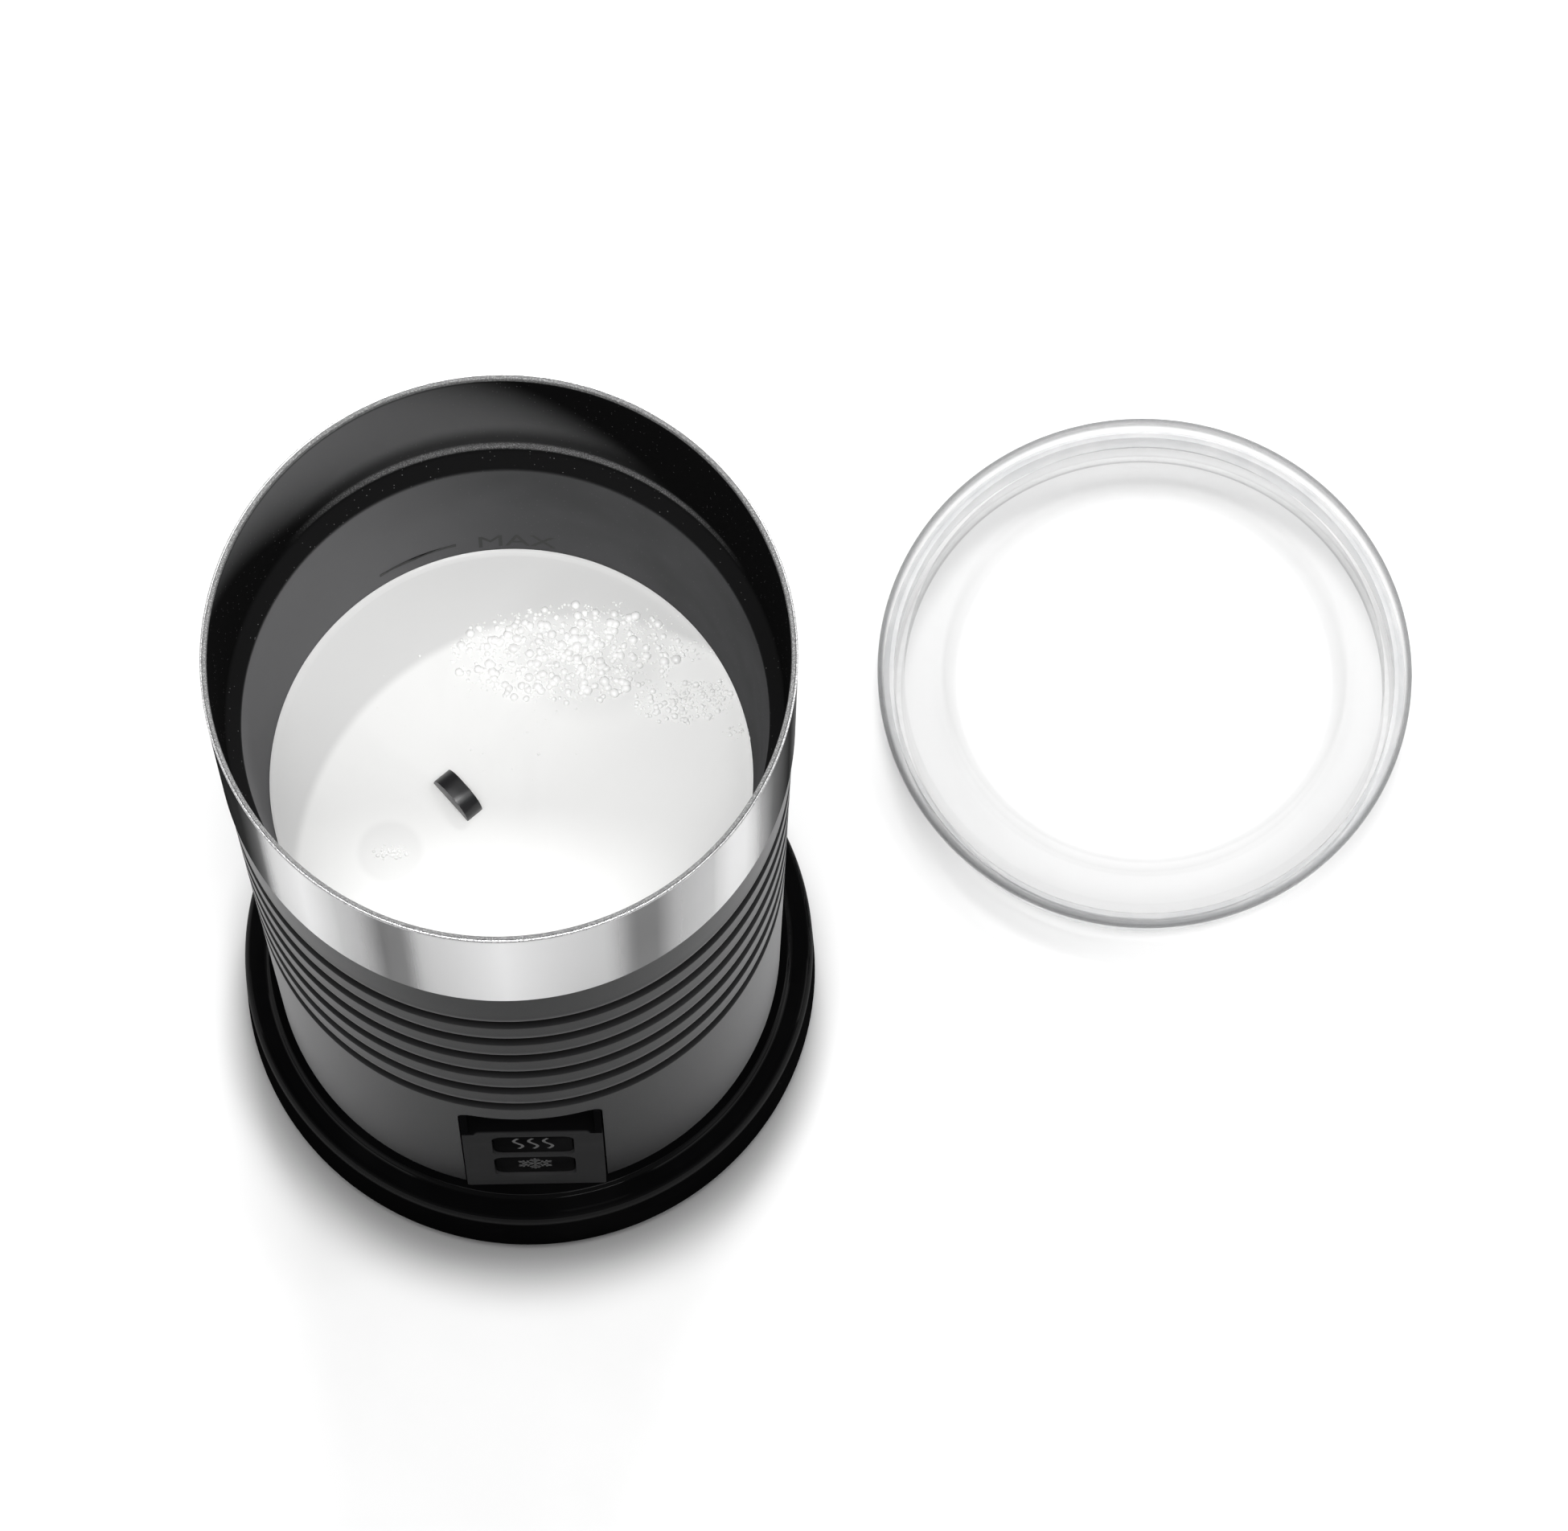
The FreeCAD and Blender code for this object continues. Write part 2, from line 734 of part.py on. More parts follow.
def lid_cover():
    top = lid_top_height
    dish_floor = top - dish_depth
    skirt_inner = skirt_radius - skirt_wall
    corners = [
        (0.0, dish_floor),
        (dish_floor_radius, dish_floor, 1.2),
        (dish_top_radius, top - 0.5, 1.0),
        (lid_radius - 2.0, top, 1.4),
        (lid_radius, top - 1.4, 0.7),
        (lid_radius, top - 3.4, 0.7),
        (skirt_radius, top - 3.0),
        (skirt_radius, 0.0, 0.5),
        (skirt_inner, 0.0, 0.5),
        (skirt_inner, top - lid_wall - 0.5, 0.8),
        (dish_top_radius + 1.9, top - lid_wall - 0.7, 0.6),
        (dish_floor_radius + 1.4, dish_floor - lid_wall, 2.0),
        (0.0, dish_floor - lid_wall),
    ]
    return turned(corners, lid_x, lid_y)


def lid_seal():
    inner = skirt_radius + 0.05
    outer = pot_rim_radius + 0.1
    low = 3.2
    corners = [(inner, low), (inner + 1.0, low, 0.3)]
    for i in range(2):
        z = low + 0.9 + 2.4 * i
        corners.append((outer, z + 0.5, 0.4))
        corners.append((inner + 0.8, z + 1.3, 0.3))
    corners.append((inner + 0.8, low + 5.6))
    corners.append((inner, low + 5.6))
    return turned(corners, lid_x, lid_y)


os.makedirs("parts", exist_ok=True)

save("base_shell", base_shell())
save("bottom_plate", bottom_plate())
save("foot_ring", foot_ring())
save("base_screws", *base_screws())
save("connector_post", connector_post())
save("base_contacts", *base_contacts())
save("cord_gland", cord_gland())
save("terminal_block", terminal_block())

save("grip_sleeve", grip_sleeve())
save("steel_shell", steel_shell())
save("inner_pot", inner_pot())
save("whisk_pin", whisk_pin())
save("pot_gasket", pot_gasket())
save("bottom_cap", bottom_cap())
save("cap_screws", *cap_screws())
save("connector_socket", connector_socket())
save("socket_contacts", *socket_contacts())
save("inner_frame", inner_frame())
save("heat_plate", heat_plate())
save("heating_element", heating_element())
save("thermostat", thermostat())
save("button_panel", button_panel())
save("tact_switches", *tact_switches())
save("control_board", control_board())
save("power_board", power_board())
save("motor_housing", motor_housing())
save("motor_screws", *motor_screws())
save("shaft_bush", shaft_bush())

for button_name, button_centre in button_heights.items():
    save(button_name, button(button_centre))

save("motor_shaft", motor_shaft())
save("magnet_carrier", magnet_carrier())
save("drive_magnets", *drive_magnets())

save("whisk_stem", whisk_stem())
save("whisk_magnet", whisk_magnet())
save("whisk_foot_cap", whisk_foot_cap())
save("whisk_coil", whisk_coil())

save("lid_cover", lid_cover())
save("lid_seal", lid_seal())
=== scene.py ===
import json
import math

import bmesh
import bpy
from mathutils import Matrix, Vector

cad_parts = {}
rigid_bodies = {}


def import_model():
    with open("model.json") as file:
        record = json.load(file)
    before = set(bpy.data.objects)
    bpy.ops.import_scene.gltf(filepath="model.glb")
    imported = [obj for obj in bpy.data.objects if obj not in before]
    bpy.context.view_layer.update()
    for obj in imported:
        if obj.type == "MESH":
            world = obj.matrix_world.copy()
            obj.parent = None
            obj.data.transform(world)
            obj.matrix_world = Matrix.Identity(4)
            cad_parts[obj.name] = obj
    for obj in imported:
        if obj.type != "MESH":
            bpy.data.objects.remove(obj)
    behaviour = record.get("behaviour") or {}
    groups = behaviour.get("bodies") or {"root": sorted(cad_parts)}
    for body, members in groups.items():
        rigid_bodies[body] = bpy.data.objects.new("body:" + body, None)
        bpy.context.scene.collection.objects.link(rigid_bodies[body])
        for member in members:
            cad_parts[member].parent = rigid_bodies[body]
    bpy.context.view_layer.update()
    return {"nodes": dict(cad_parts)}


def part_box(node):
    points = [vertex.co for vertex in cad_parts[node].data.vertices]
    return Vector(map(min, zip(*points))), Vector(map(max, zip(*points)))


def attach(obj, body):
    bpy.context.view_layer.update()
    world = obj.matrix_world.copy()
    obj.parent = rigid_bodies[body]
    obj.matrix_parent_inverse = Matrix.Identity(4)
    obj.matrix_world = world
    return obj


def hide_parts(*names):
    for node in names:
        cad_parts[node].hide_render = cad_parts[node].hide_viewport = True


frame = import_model()

bl_info = {
    "name": "Milk frother",
    "version": (1, 0, 0),
    "blender": (4, 5, 0),
    "location": "3D View > Sidebar > Frother",
    "description": "Builds the visible pieces and finishes of a cordless milk frother round its packed frame",
    "category": "Object",
}

MM = 0.001
AROUND = 224  # corners of a turned piece
SHARP = 35.0  # degrees, from which an edge stays crisp


def low(node):
    """Lowest corner of a frame node, in metres."""
    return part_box(node)[0]


def high(node):
    """Highest corner of a frame node, in metres."""
    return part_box(node)[1]


def middle(node):
    return (low(node) + high(node)) / 2


# Heights and radii that the pieces share, from the frame
RIM_TOP = high("steel_shell").z
RIM_RADIUS = high("steel_shell").x
SLEEVE_TOP = high("grip_sleeve").z
SLEEVE_FOOT = low("grip_sleeve").z
SLEEVE_TOP_RADIUS = high("grip_sleeve").x
BASE_RADIUS = high("base_shell").x
BASE_TOP = high("base_shell").z
POT_WALL = 0.8
POT_FLOOR = low("inner_pot").z + POT_WALL * MM
POT_SHOULDER = 33.8  # depth of the lower wall's top, in millimetres
WHISK_AXIS = Vector((middle("whisk_coil").x, middle("whisk_coil").y, 0.0))
WHISK_TOP = high("whisk_stem").z
WHISK_FOOT = low("whisk_stem").z
WHISK_TURN = math.radians(-50.0)
LID_AXIS = Vector((middle("lid_cover").x, middle("lid_cover").y, 0.0))
LID_TOP = high("lid_cover").z
LID_RADIUS = (high("lid_cover").x - low("lid_cover").x) / 2
PANEL_X = middle("button_panel").x
PANEL_FACE_Y = low("button_panel").y
PANEL_TOP = high("button_panel").z
MILK_LEVEL = WHISK_TOP - 4.1 * MM
AXIS = Vector((0.0, 0.0, 0.0))
PLATE_CIRCLE = 35.0  # circle of the base's screws, in millimetres
CAP_CIRCLE = 34.2  # circle of the jug's screws, in millimetres
FORWARD = Matrix.Rotation(-math.pi / 2, 4, "X")  # lays a turned piece along Y


# ---------------------------------------------------------------- settings a user may change

LENGTH = {"unit": "LENGTH", "subtype": "DISTANCE"}


class FrotherSizes(bpy.types.PropertyGroup):
    groove_count: bpy.props.IntProperty(
        name="Grip grooves", description="How many grooves run round the sleeve", default=6, min=0, max=8
    )
    groove_depth: bpy.props.FloatProperty(
        name="Groove depth", description="How far each groove goes into the sleeve", default=1.15 * MM, **LENGTH
    )
    groove_pitch: bpy.props.FloatProperty(
        name="Groove pitch", description="Height from one groove to the next", default=10.9 * MM, **LENGTH
    )
    coil_turns: bpy.props.IntProperty(
        name="Whisk coil turns", description="Turns of wire round the whisk", default=46, min=12, max=90
    )
    coil_wire: bpy.props.FloatProperty(
        name="Whisk wire radius", description="Radius of the whisk's spring wire", default=0.42 * MM, **LENGTH
    )
    bubbles: bpy.props.IntProperty(
        name="Foam bubbles", description="Rough number of bubbles on the milk", default=1300, min=0, max=4000
    )
    mark_height: bpy.props.FloatProperty(
        name="Level mark height", description="Height of the level mark's letters", default=4.4 * MM, **LENGTH
    )


class FrotherFinishes(bpy.types.PropertyGroup):
    base_black: bpy.props.FloatVectorProperty(
        name="Base", description="Colour of the glossy base", subtype="COLOR", default=(0.0015, 0.0015, 0.0016)
    )
    grip_grey: bpy.props.FloatVectorProperty(
        name="Grip", description="Colour of the grip sleeve", subtype="COLOR", default=(0.011, 0.011, 0.0114)
    )
    steel: bpy.props.FloatVectorProperty(
        name="Steel band", description="Colour of the steel band", subtype="COLOR", default=(0.96, 0.96, 0.965)
    )
    coating: bpy.props.FloatVectorProperty(
        name="Pot coating", description="Colour inside the pot", subtype="COLOR", default=(0.085, 0.085, 0.087)
    )
    lid_tint: bpy.props.FloatVectorProperty(
        name="Lid", description="Tint of the clear lid", subtype="COLOR", default=(0.14, 0.142, 0.145)
    )
    milk: bpy.props.FloatVectorProperty(
        name="Milk", description="Colour of the milk", subtype="COLOR", default=(0.9, 0.9, 0.89)
    )


def sizes():
    return bpy.context.scene.frother_sizes


def finishes():
    return bpy.context.scene.frother_finishes


# ---------------------------------------------------------------- shader and geometry maths


def two_way(operation, swapped=False):
    """A Python operator that adds one node of maths."""
    if swapped:
        return lambda wire, other: wire.arithmetic(operation, other, wire)
    return lambda wire, other: wire.arithmetic(operation, wire, other)


class Wire:
    """One socket of a node tree, with arithmetic that adds the nodes it needs."""

    def __init__(self, tree, socket):
        self.tree = tree
        self.socket = socket

    def out(self, key):
        """Another output of the same node, by name or number."""
        return Wire(self.tree, self.socket.node.outputs[key])

    def is_number(self):
        return self.socket.type in {"VALUE", "INT", "BOOLEAN"}

    def math(self, operation, *values):
        return self.tree.add("ShaderNodeMath", dict(enumerate(values)), operation=operation)

    def arithmetic(self, operation, *values):
        if all(not isinstance(value, Wire) or value.is_number() for value in values):
            return self.math(operation, *values)
        triples = [(value,) * 3 if isinstance(value, (int, float)) else value for value in values]
        return self.tree.add("ShaderNodeVectorMath", dict(enumerate(triples)), operation=operation)

    __add__ = two_way("ADD")
    __radd__ = two_way("ADD", True)
    __sub__ = two_way("SUBTRACT")
    __rsub__ = two_way("SUBTRACT", True)
    __mul__ = two_way("MULTIPLY")
    __rmul__ = two_way("MULTIPLY", True)
    __truediv__ = two_way("DIVIDE")
    __pow__ = two_way("POWER")
    __gt__ = two_way("GREATER_THAN")
    __lt__ = two_way("LESS_THAN")

    def sin(self):
        return self.math("SINE", self)

    def cos(self):
        return self.math("COSINE", self)

    def floor(self):
        return self.math("FLOOR", self)

    def root(self):
        return self.math("SQRT", self)

    def angle_to(self, other):
        return self.math("ARCTAN2", self, other)

    def clamp(self, least=0.0, most=1.0):
        return self.math("MAXIMUM", self.math("MINIMUM", self, most), least)

    def smooth(self, start, end):
        """0 at start, 1 at end, with a soft turn at each."""
        values = {"Value": self, "From Min": start, "From Max": end}
        return self.tree.add("ShaderNodeMapRange", values, interpolation_type="SMOOTHSTEP")

    def rise(self, start, end, origin=0.0):
        """A smooth step between two places given in millimetres from the origin."""
        return self.smooth(origin + start * MM, origin + end * MM)


class Tree:
    """A node tree in the making."""

    def __init__(self, data):
        self.data = data

    def add(self, kind, values=None, **settings):
        """Adds a node, sets what it is and then its sockets, and gives its first output."""
        node = self.data.nodes.new(kind)
        stops = settings.pop("stops", None)
        for key, value in settings.items():
            setattr(node, key, value)
        if stops:
            set_stops(node.color_ramp, stops)
        for key, value in (values or {}).items():
            socket = node.inputs[key]
            if isinstance(value, Wire):
                self.data.links.new(value.socket, socket)
            elif socket.type == "RGBA":
                socket.default_value = (*value[:3], 1.0)
            else:
                socket.default_value = value
        return Wire(self, node.outputs[0]) if node.outputs else None

    def join(self, x, y, z):
        return self.add("ShaderNodeCombineXYZ", {0: x, 1: y, 2: z})

    def split(self, place):
        first = self.add("ShaderNodeSeparateXYZ", {0: place})
        return first, first.out(1), first.out(2)


def set_stops(ramp, stops):
    while len(ramp.elements) < len(stops):
        ramp.elements.new(0.5)
    for element, (place, colour) in zip(ramp.elements, stops):
        element.position = place
        element.color = (*colour, 1.0)


def grey(level):
    return (level, level, level)


class Finish(Tree):
    """A material in the making."""

    def __init__(self, name):
        self.material = bpy.data.materials.new(name)
        self.material.use_nodes = True
        super().__init__(self.material.node_tree)
        self.data.nodes.clear()
        self.place = self.add("ShaderNodeTexCoord").out("Object")
        self.x, self.y, self.z = self.split(self.place)

    def noise(self, scale, detail=3.0, roughness=0.5, place=None, distortion=0.0):
        values = {"Scale": scale, "Detail": detail, "Roughness": roughness, "Distortion": distortion}
        return self.add("ShaderNodeTexNoise", {"Vector": place or self.place, **values})

    def cells(self, scale, place=None, feature="F1"):
        return self.add("ShaderNodeTexVoronoi", {"Vector": place or self.place, "Scale": scale}, feature=feature)

    def facing_away(self, blend):
        """0 where the surface is seen head on, 1 at its outline."""
        return self.add("ShaderNodeLayerWeight", {"Blend": blend}).out("Facing")

    def mix(self, first, second, share):
        return self.add("ShaderNodeMix", {"Factor": share, 6: first, 7: second}, data_type="RGBA").out(2)

    def bump(self, height, distance, strength=1.0):
        """A relief this many millimetres high."""
        return self.add("ShaderNodeBump", {"Height": height, "Distance": distance * MM, "Strength": strength})

    def about(self, x=0.0, y=0.0):
        """Distance and angle of each point about an upright axis, in metres and radians."""
        across, back = self.x - x, self.y - y
        return (across * across + back * back).root(), back.angle_to(across)

    def away(self, x, y):
        """Distance of each point from an upright axis given in millimetres."""
        return self.about(x * MM, y * MM)[0]

    def finish(self, **values):
        """Ends the material in a Principled shader; names use _ for spaces."""
        named = {key.replace("_", " "): value for key, value in values.items()}
        self.add("ShaderNodeOutputMaterial", {"Surface": self.add("ShaderNodeBsdfPrincipled", named)})
        return self.material


# ---------------------------------------------------------------- mesh helpers


def rounded(corners, step=math.radians(12)):
    """Points of a closed outline through corners (a, b) or (a, b, fillet radius), all in millimetres."""
    points = []
    for i, corner in enumerate(corners):
        here = Vector(corner[:2])
        radius = corner[2] if len(corner) > 2 else 0.0
        before = (Vector(corners[i - 1][:2]) - here).normalized()
        after = (Vector(corners[(i + 1) % len(corners)][:2]) - here).normalized()
        if radius == 0.0 or before.cross(after) == 0.0:
            points.append(here * MM)
            continue
        half = before.angle(after) / 2
        centre = here + (before + after).normalized() * (radius / math.sin(half))
        start = here + before * (radius / math.tan(half)) - centre
        end = here + after * (radius / math.tan(half)) - centre
        sweep = start.angle_signed(end)
        pieces = max(2, math.ceil(abs(sweep) / step))
        for k in range(pieces + 1):
            turned = start.copy()
            turned.rotate(Matrix.Rotation(-sweep * k / pieces, 2))
            points.append((centre + turned) * MM)
    return points


def signed_area(points):
    return sum(a[0] * b[1] - b[0] * a[1] for a, b in zip(points, points[1:] + points[:1])) / 2


def new_object(name, mesh):
    piece = bpy.data.objects.new(name, mesh)
    bpy.context.scene.collection.objects.link(piece)
    return piece


def new_mesh(name, verts=(), faces=()):
    mesh = bpy.data.meshes.new(name)
    mesh.from_pydata(verts, [], faces)
    return mesh


def rework(mesh, work):
    """Runs work on the mesh while it can be edited."""
    body = bmesh.new()
    body.from_mesh(mesh)
    work(body)
    body.to_mesh(mesh)
    body.free()


def lathe(name, points, centre=AXIS, around=AROUND):
    """Closed body turned about the upright axis through centre, from a closed outline of (radius, height)."""
    if signed_area(points) < 0:
        points = points[::-1]
    verts, rings = [], []
    for radius, height in points:
        if radius < 1e-7:
            rings.append([len(verts)])
            verts.append((centre.x, centre.y, height))
            continue
        rings.append(list(range(len(verts), len(verts) + around)))
        for j in range(around):
            turn = math.tau * j / around
            verts.append((centre.x + radius * math.cos(turn), centre.y + radius * math.sin(turn), height))
    faces = []
    for lower, upper in zip(rings, rings[1:] + rings[:1]):
        for j in range(around):
            k = (j + 1) % around
            corners = [lower[j % len(lower)], lower[k % len(lower)], upper[k % len(upper)], upper[j % len(upper)]]
            corners = list(dict.fromkeys(corners))
            if len(corners) > 2:
                faces.append(corners)
    mesh = new_mesh(name, verts, faces)
    mesh.update()
    smooth(mesh)
    return new_object(name, mesh)


def smooth(mesh, sharp=SHARP):
    mesh.shade_smooth()
    mesh.set_sharp_from_angle(angle=math.radians(sharp))


def facing(x, z, depth):
    """Places an outline on an upright plane that faces the front."""
    return (x, depth, z)


def lying(x, y, depth):
    """Places an outline on a level plane."""
    return (x, y, depth)


def prism(name, points, front, back, place=facing):
    """Closed prism of an outline from front to back, in metres; place(a, b, depth) puts each point in space."""
    count = len(points)
    verts = [place(a, b, depth) for depth in (front, back) for a, b in points]
    faces = [list(range(count)), list(range(2 * count - 1, count - 1, -1))]
    faces += [[i, i + count, (i + 1) % count + count, (i + 1) % count] for i in range(count)]
    mesh = new_mesh(name, verts, faces)
    rework(mesh, lambda body: bmesh.ops.recalc_face_normals(body, faces=body.faces))
    return new_object(name, mesh)


def plate(name, xs, zs, depths, foot=0.0, top=0.0):
    """Upright plate with fillets at its foot and top corners, all in millimetres."""
    corners = [(xs[0], zs[0], foot), (xs[1], zs[0], foot), (xs[1], zs[1], top), (xs[0], zs[1], top)]
    return prism(name, rounded(corners), depths[0] * MM, depths[1] * MM)


def placed(piece, place, turn=Matrix()):
    """Moves the piece's mesh, and leaves its object at the origin."""
    piece.data.transform(Matrix.Translation(place) @ turn)
    return piece


def use(piece, material):
    piece.data.materials.clear()
    piece.data.materials.append(material)


def apply_modifiers(piece, sharp=SHARP):
    """Turns the piece's modifiers into plain mesh."""
    bpy.context.view_layer.update()
    graph = bpy.context.evaluated_depsgraph_get()
    mesh = bpy.data.meshes.new_from_object(piece.evaluated_get(graph), depsgraph=graph)
    old = piece.data
    piece.modifiers.clear()
    piece.data = mesh
    mesh.name = piece.name
    bpy.data.meshes.remove(old)
    smooth(mesh, sharp)


def cut(piece, other, sharp=SHARP, operation="DIFFERENCE"):
    """Takes the other's volume out of the piece, or adds it, and removes the other."""
    modifier = piece.modifiers.new("Cut", "BOOLEAN")
    modifier.operation = operation
    modifier.solver = "EXACT"
    modifier.object = other
    apply_modifiers(piece, sharp)
    mesh = other.data
    bpy.data.objects.remove(other)
    bpy.data.meshes.remove(mesh)


def soften(piece, width, angle=40.0, segments=2):
    """Rounds the piece's crisp edges by this many millimetres."""

    def split_large(body):
        bmesh.ops.triangulate(body, faces=[face for face in body.faces if len(face.verts) > 4])

    rework(piece.data, split_large)
    modifier = piece.modifiers.new("Soft edges", "BEVEL")
    modifier.width = width * MM
    modifier.segments = segments
    modifier.limit_method = "ANGLE"
    modifier.angle_limit = math.radians(angle)
    modifier.use_clamp_overlap = True
    apply_modifiers(piece, 40.0)


def join(name, pieces, sharp=None):
    """One object of several plain meshes, with their materials kept."""
    body = bmesh.new()
    materials = []
    for piece in pieces:
        first = len(body.faces)
        body.from_mesh(piece.data)
        body.faces.ensure_lookup_table()
        materials += [material for material in piece.data.materials if material not in materials]
        index = materials.index(piece.data.materials[0]) if piece.data.materials else 0
        for face in body.faces[first:]:
            face.material_index = index
        bpy.data.objects.remove(piece)
    mesh = bpy.data.meshes.new(name)
    body.to_mesh(mesh)
    body.free()
    for material in materials:
        mesh.materials.append(material)
    if sharp:
        smooth(mesh, sharp)
    return new_object(name, mesh)


# ---------------------------------------------------------------- geometry node helpers


class Recipe(Tree):
    """A geometry node tree in the making, with named inputs."""

    def __init__(self, name, **inputs):
        super().__init__(bpy.data.node_groups.new(name, "GeometryNodeTree"))
        face = self.data.interface
        self.ids = {}
        face.new_socket("Geometry", in_out="INPUT", socket_type="NodeSocketGeometry")
        for key, kind in {**inputs, "Finish": "Material"}.items():
            label = key.replace("_", " ")
            self.ids[label] = face.new_socket(label, in_out="INPUT", socket_type="NodeSocket" + kind).identifier
        face.new_socket("Geometry", in_out="OUTPUT", socket_type="NodeSocketGeometry")
        self.input = self.add("NodeGroupInput")

    def given(self, *labels):
        wires = [self.input.out(label) for label in labels]
        return wires if len(wires) > 1 else wires[0]

    def position(self):
        return self.split(self.add("GeometryNodeInputPosition"))

    def put(self, points, position):
        return self.add("GeometryNodeSetPosition", {"Geometry": points, "Position": position})

    def copies(self, points, piece, **more):
        return self.add("GeometryNodeInstanceOnPoints", {"Points": points, "Instance": piece, **more})

    def end(self, shape):
        real = self.add("GeometryNodeRealizeInstances", {0: shape})
        painted = self.add("GeometryNodeSetMaterial", {"Geometry": real, "Material": self.given("Finish")})
        self.add("NodeGroupOutput", {0: painted})
        return self

    def make(self, piece, sharp=SHARP, **values):
        """Runs the tree on the piece with these inputs, and leaves a plain mesh."""
        modifier = piece.modifiers.new(self.data.name, "NODES")
        modifier.node_group = self.data
        for key, value in values.items():
            modifier[self.ids[key.replace("_", " ")]] = value
        apply_modifiers(piece, sharp)
        return piece


def pattern(name, layout, **inputs):
    """Copies of one piece; layout(recipe, index, count) gives each one's position and turn."""
    recipe = Recipe(name, Count="Int", **inputs)
    count = recipe.given("Count")
    points = recipe.add("GeometryNodePoints", {"Count": count})
    position, turn = layout(recipe, recipe.add("GeometryNodeInputIndex"), count)
    return recipe.end(recipe.copies(recipe.put(points, position), recipe.given("Geometry"), Rotation=turn))


def empty_piece(name):
    return new_object(name, new_mesh(name))


# ---------------------------------------------------------------- finishes


def gloss_black_finish():
    """Polished black moulding: deep black, with a faint ripple and the odd fine rub mark."""
    shade = Finish("gloss_black")
    ripple = shade.noise(90.0, 2.0)
    rubs = shade.noise(2600.0, 2.0, 0.6)
    fog = shade.noise(55.0, 3.0).smooth(0.45, 0.75)
    radius = shade.away(0.0, 0.0)
    outer_edge = radius.rise(-1.5, -0.9, BASE_RADIUS) * shade.z.rise(-4.2, -3.0, BASE_TOP)
    seat_edge = radius.rise(46.0, 46.3) * radius.rise(47.2, 46.8)
    return shade.finish(
        Base_Color=shade.mix(finishes().base_black, (0.0025, 0.0025, 0.0026), fog),
        Roughness=0.3 + fog * 0.1,
        Specular_IOR_Level=0.0,
        Coat_Weight=(0.004 + outer_edge * 0.16 + seat_edge * 0.16).clamp(),
        Coat_Roughness=0.06,
        Normal=shade.bump(ripple * 0.8 + rubs * 0.02, 0.02, 0.5),
    )


# Painted reflections: brightness of the steel band round it, by degrees from its front
BAND_PAINTED_REFLECTIONS = (
    (-180, 0.5), (-150, 0.75), (-120, 0.35), (-95, 0.3), (-80, 0.01), (-62, 0.03), (-55, 0.12), (-49, 0.55),
    (-42, 0.8), (-34, 0.42), (-29, 0.36), (-24, 0.17), (-19, 0.2), (-15, 0.6), (0, 0.95), (12, 0.66),
    (20, 0.48), (26, 0.17), (31, 0.17), (36, 0.32), (45, 0.4), (50, 0.72), (55, 0.74), (60, 0.28),
    (66, 0.12), (76, 0.02), (100, 0.35), (130, 0.3), (155, 0.7), (180, 0.5),
)


def brushed_band_finish():
    """Polished steel, brushed round the band, with painted reflections as soft upright streaks and a painted
    highlight on its rolled rim.
    """
    shade = Finish("brushed_steel")
    turn = shade.x.angle_to(shade.y * -1.0)
    # Painted reflections: soft upright streaks set the band's colour and metal by angle
    stops = [((angle + 180.0) / 360.0, grey(bright)) for angle, bright in BAND_PAINTED_REFLECTIONS]
    painted_reflection = shade.add("ShaderNodeValToRGB", {"Fac": (turn + math.pi) / math.tau}, stops=stops)
    fine = shade.noise(1.0, 4.0, 0.6, shade.join(turn * 2.5, 0.0, shade.z * 9000.0))
    drift = (shade.noise(60.0, 2.0) - 0.5) * 0.02
    tone = shade.add("ShaderNodeSeparateColor", {0: painted_reflection}) * (0.96 + fine * 0.08) + drift
    # Painted highlight on the rolled rim: speckled, and brighter towards the back
    rolled = shade.z.rise(-0.9, -0.4, RIM_TOP)
    rim = shade.noise(3000.0, 2.0) * 0.85 + shade.y.rise(-20.0, 30.0) * 0.35
    tone = tone * (1.0 - rolled) + rolled * rim
    return shade.finish(
        Base_Color=shade.mix(grey(0.0), finishes().steel, tone.clamp(0.02, 1.0)),
        Metallic=tone.smooth(0.06, 0.5),
        Roughness=0.2 + fine * 0.06,
        Specular_IOR_Level=0.0,
        Specular_Tint=grey(0.8),
        Anisotropic=0.8,
        Normal=shade.bump(fine, 0.004, 0.5),
    )


def grip_finish():
    """Satin painted grip with a fine metallic grain, a painted sheen towards its outline and painted shade in its
    grooves.
    """
    shade = Finish("satin_grey")
    grain = shade.noise(5200.0, 2.0, 0.6)
    drift = shade.noise(45.0, 3.0)
    sparkle = shade.cells(3800.0).smooth(0.22, 0.05)
    worn = drift.smooth(0.35, 0.75) * 0.35 + sparkle * 0.2
    colour = shade.mix(finishes().grip_grey, (0.024, 0.024, 0.0245), worn)
    # Painted sheen: paler towards the outline
    colour = shade.mix(colour, (0.19, 0.19, 0.192), shade.facing_away(0.5).smooth(0.72, 1.0))
    # Painted shade darkens the grooves
    colour = shade.mix(colour, grey(0.002), groove_painted_shade(shade) * 0.92)
    return shade.finish(
        Base_Color=colour,
        Roughness=0.4 + grain * 0.1 + drift * 0.05,
        Specular_IOR_Level=0.05,
        Normal=shade.bump(grain, 0.012, 0.35),
    )


def nearest_groove(z, lowest, pitch, count):
    """How far each height is above its nearest groove, in metres, and 1 where there is one."""
    step = (z - lowest) / pitch
    nearest = (step + 0.17).floor()
    return (step - nearest) * pitch, (nearest > -0.5) * (nearest < count - 0.5)


def groove_painted_shade(shade):
    """Painted shade: 1 deep in a grip groove and 0 on the ribs between."""
    made = sizes()
    above, within = nearest_groove(shade.z, groove_heights()[-1], made.groove_pitch, made.groove_count)
    return above.rise(9.0, 0.2) ** 1.6 * above.rise(-1.1, -0.3) * within


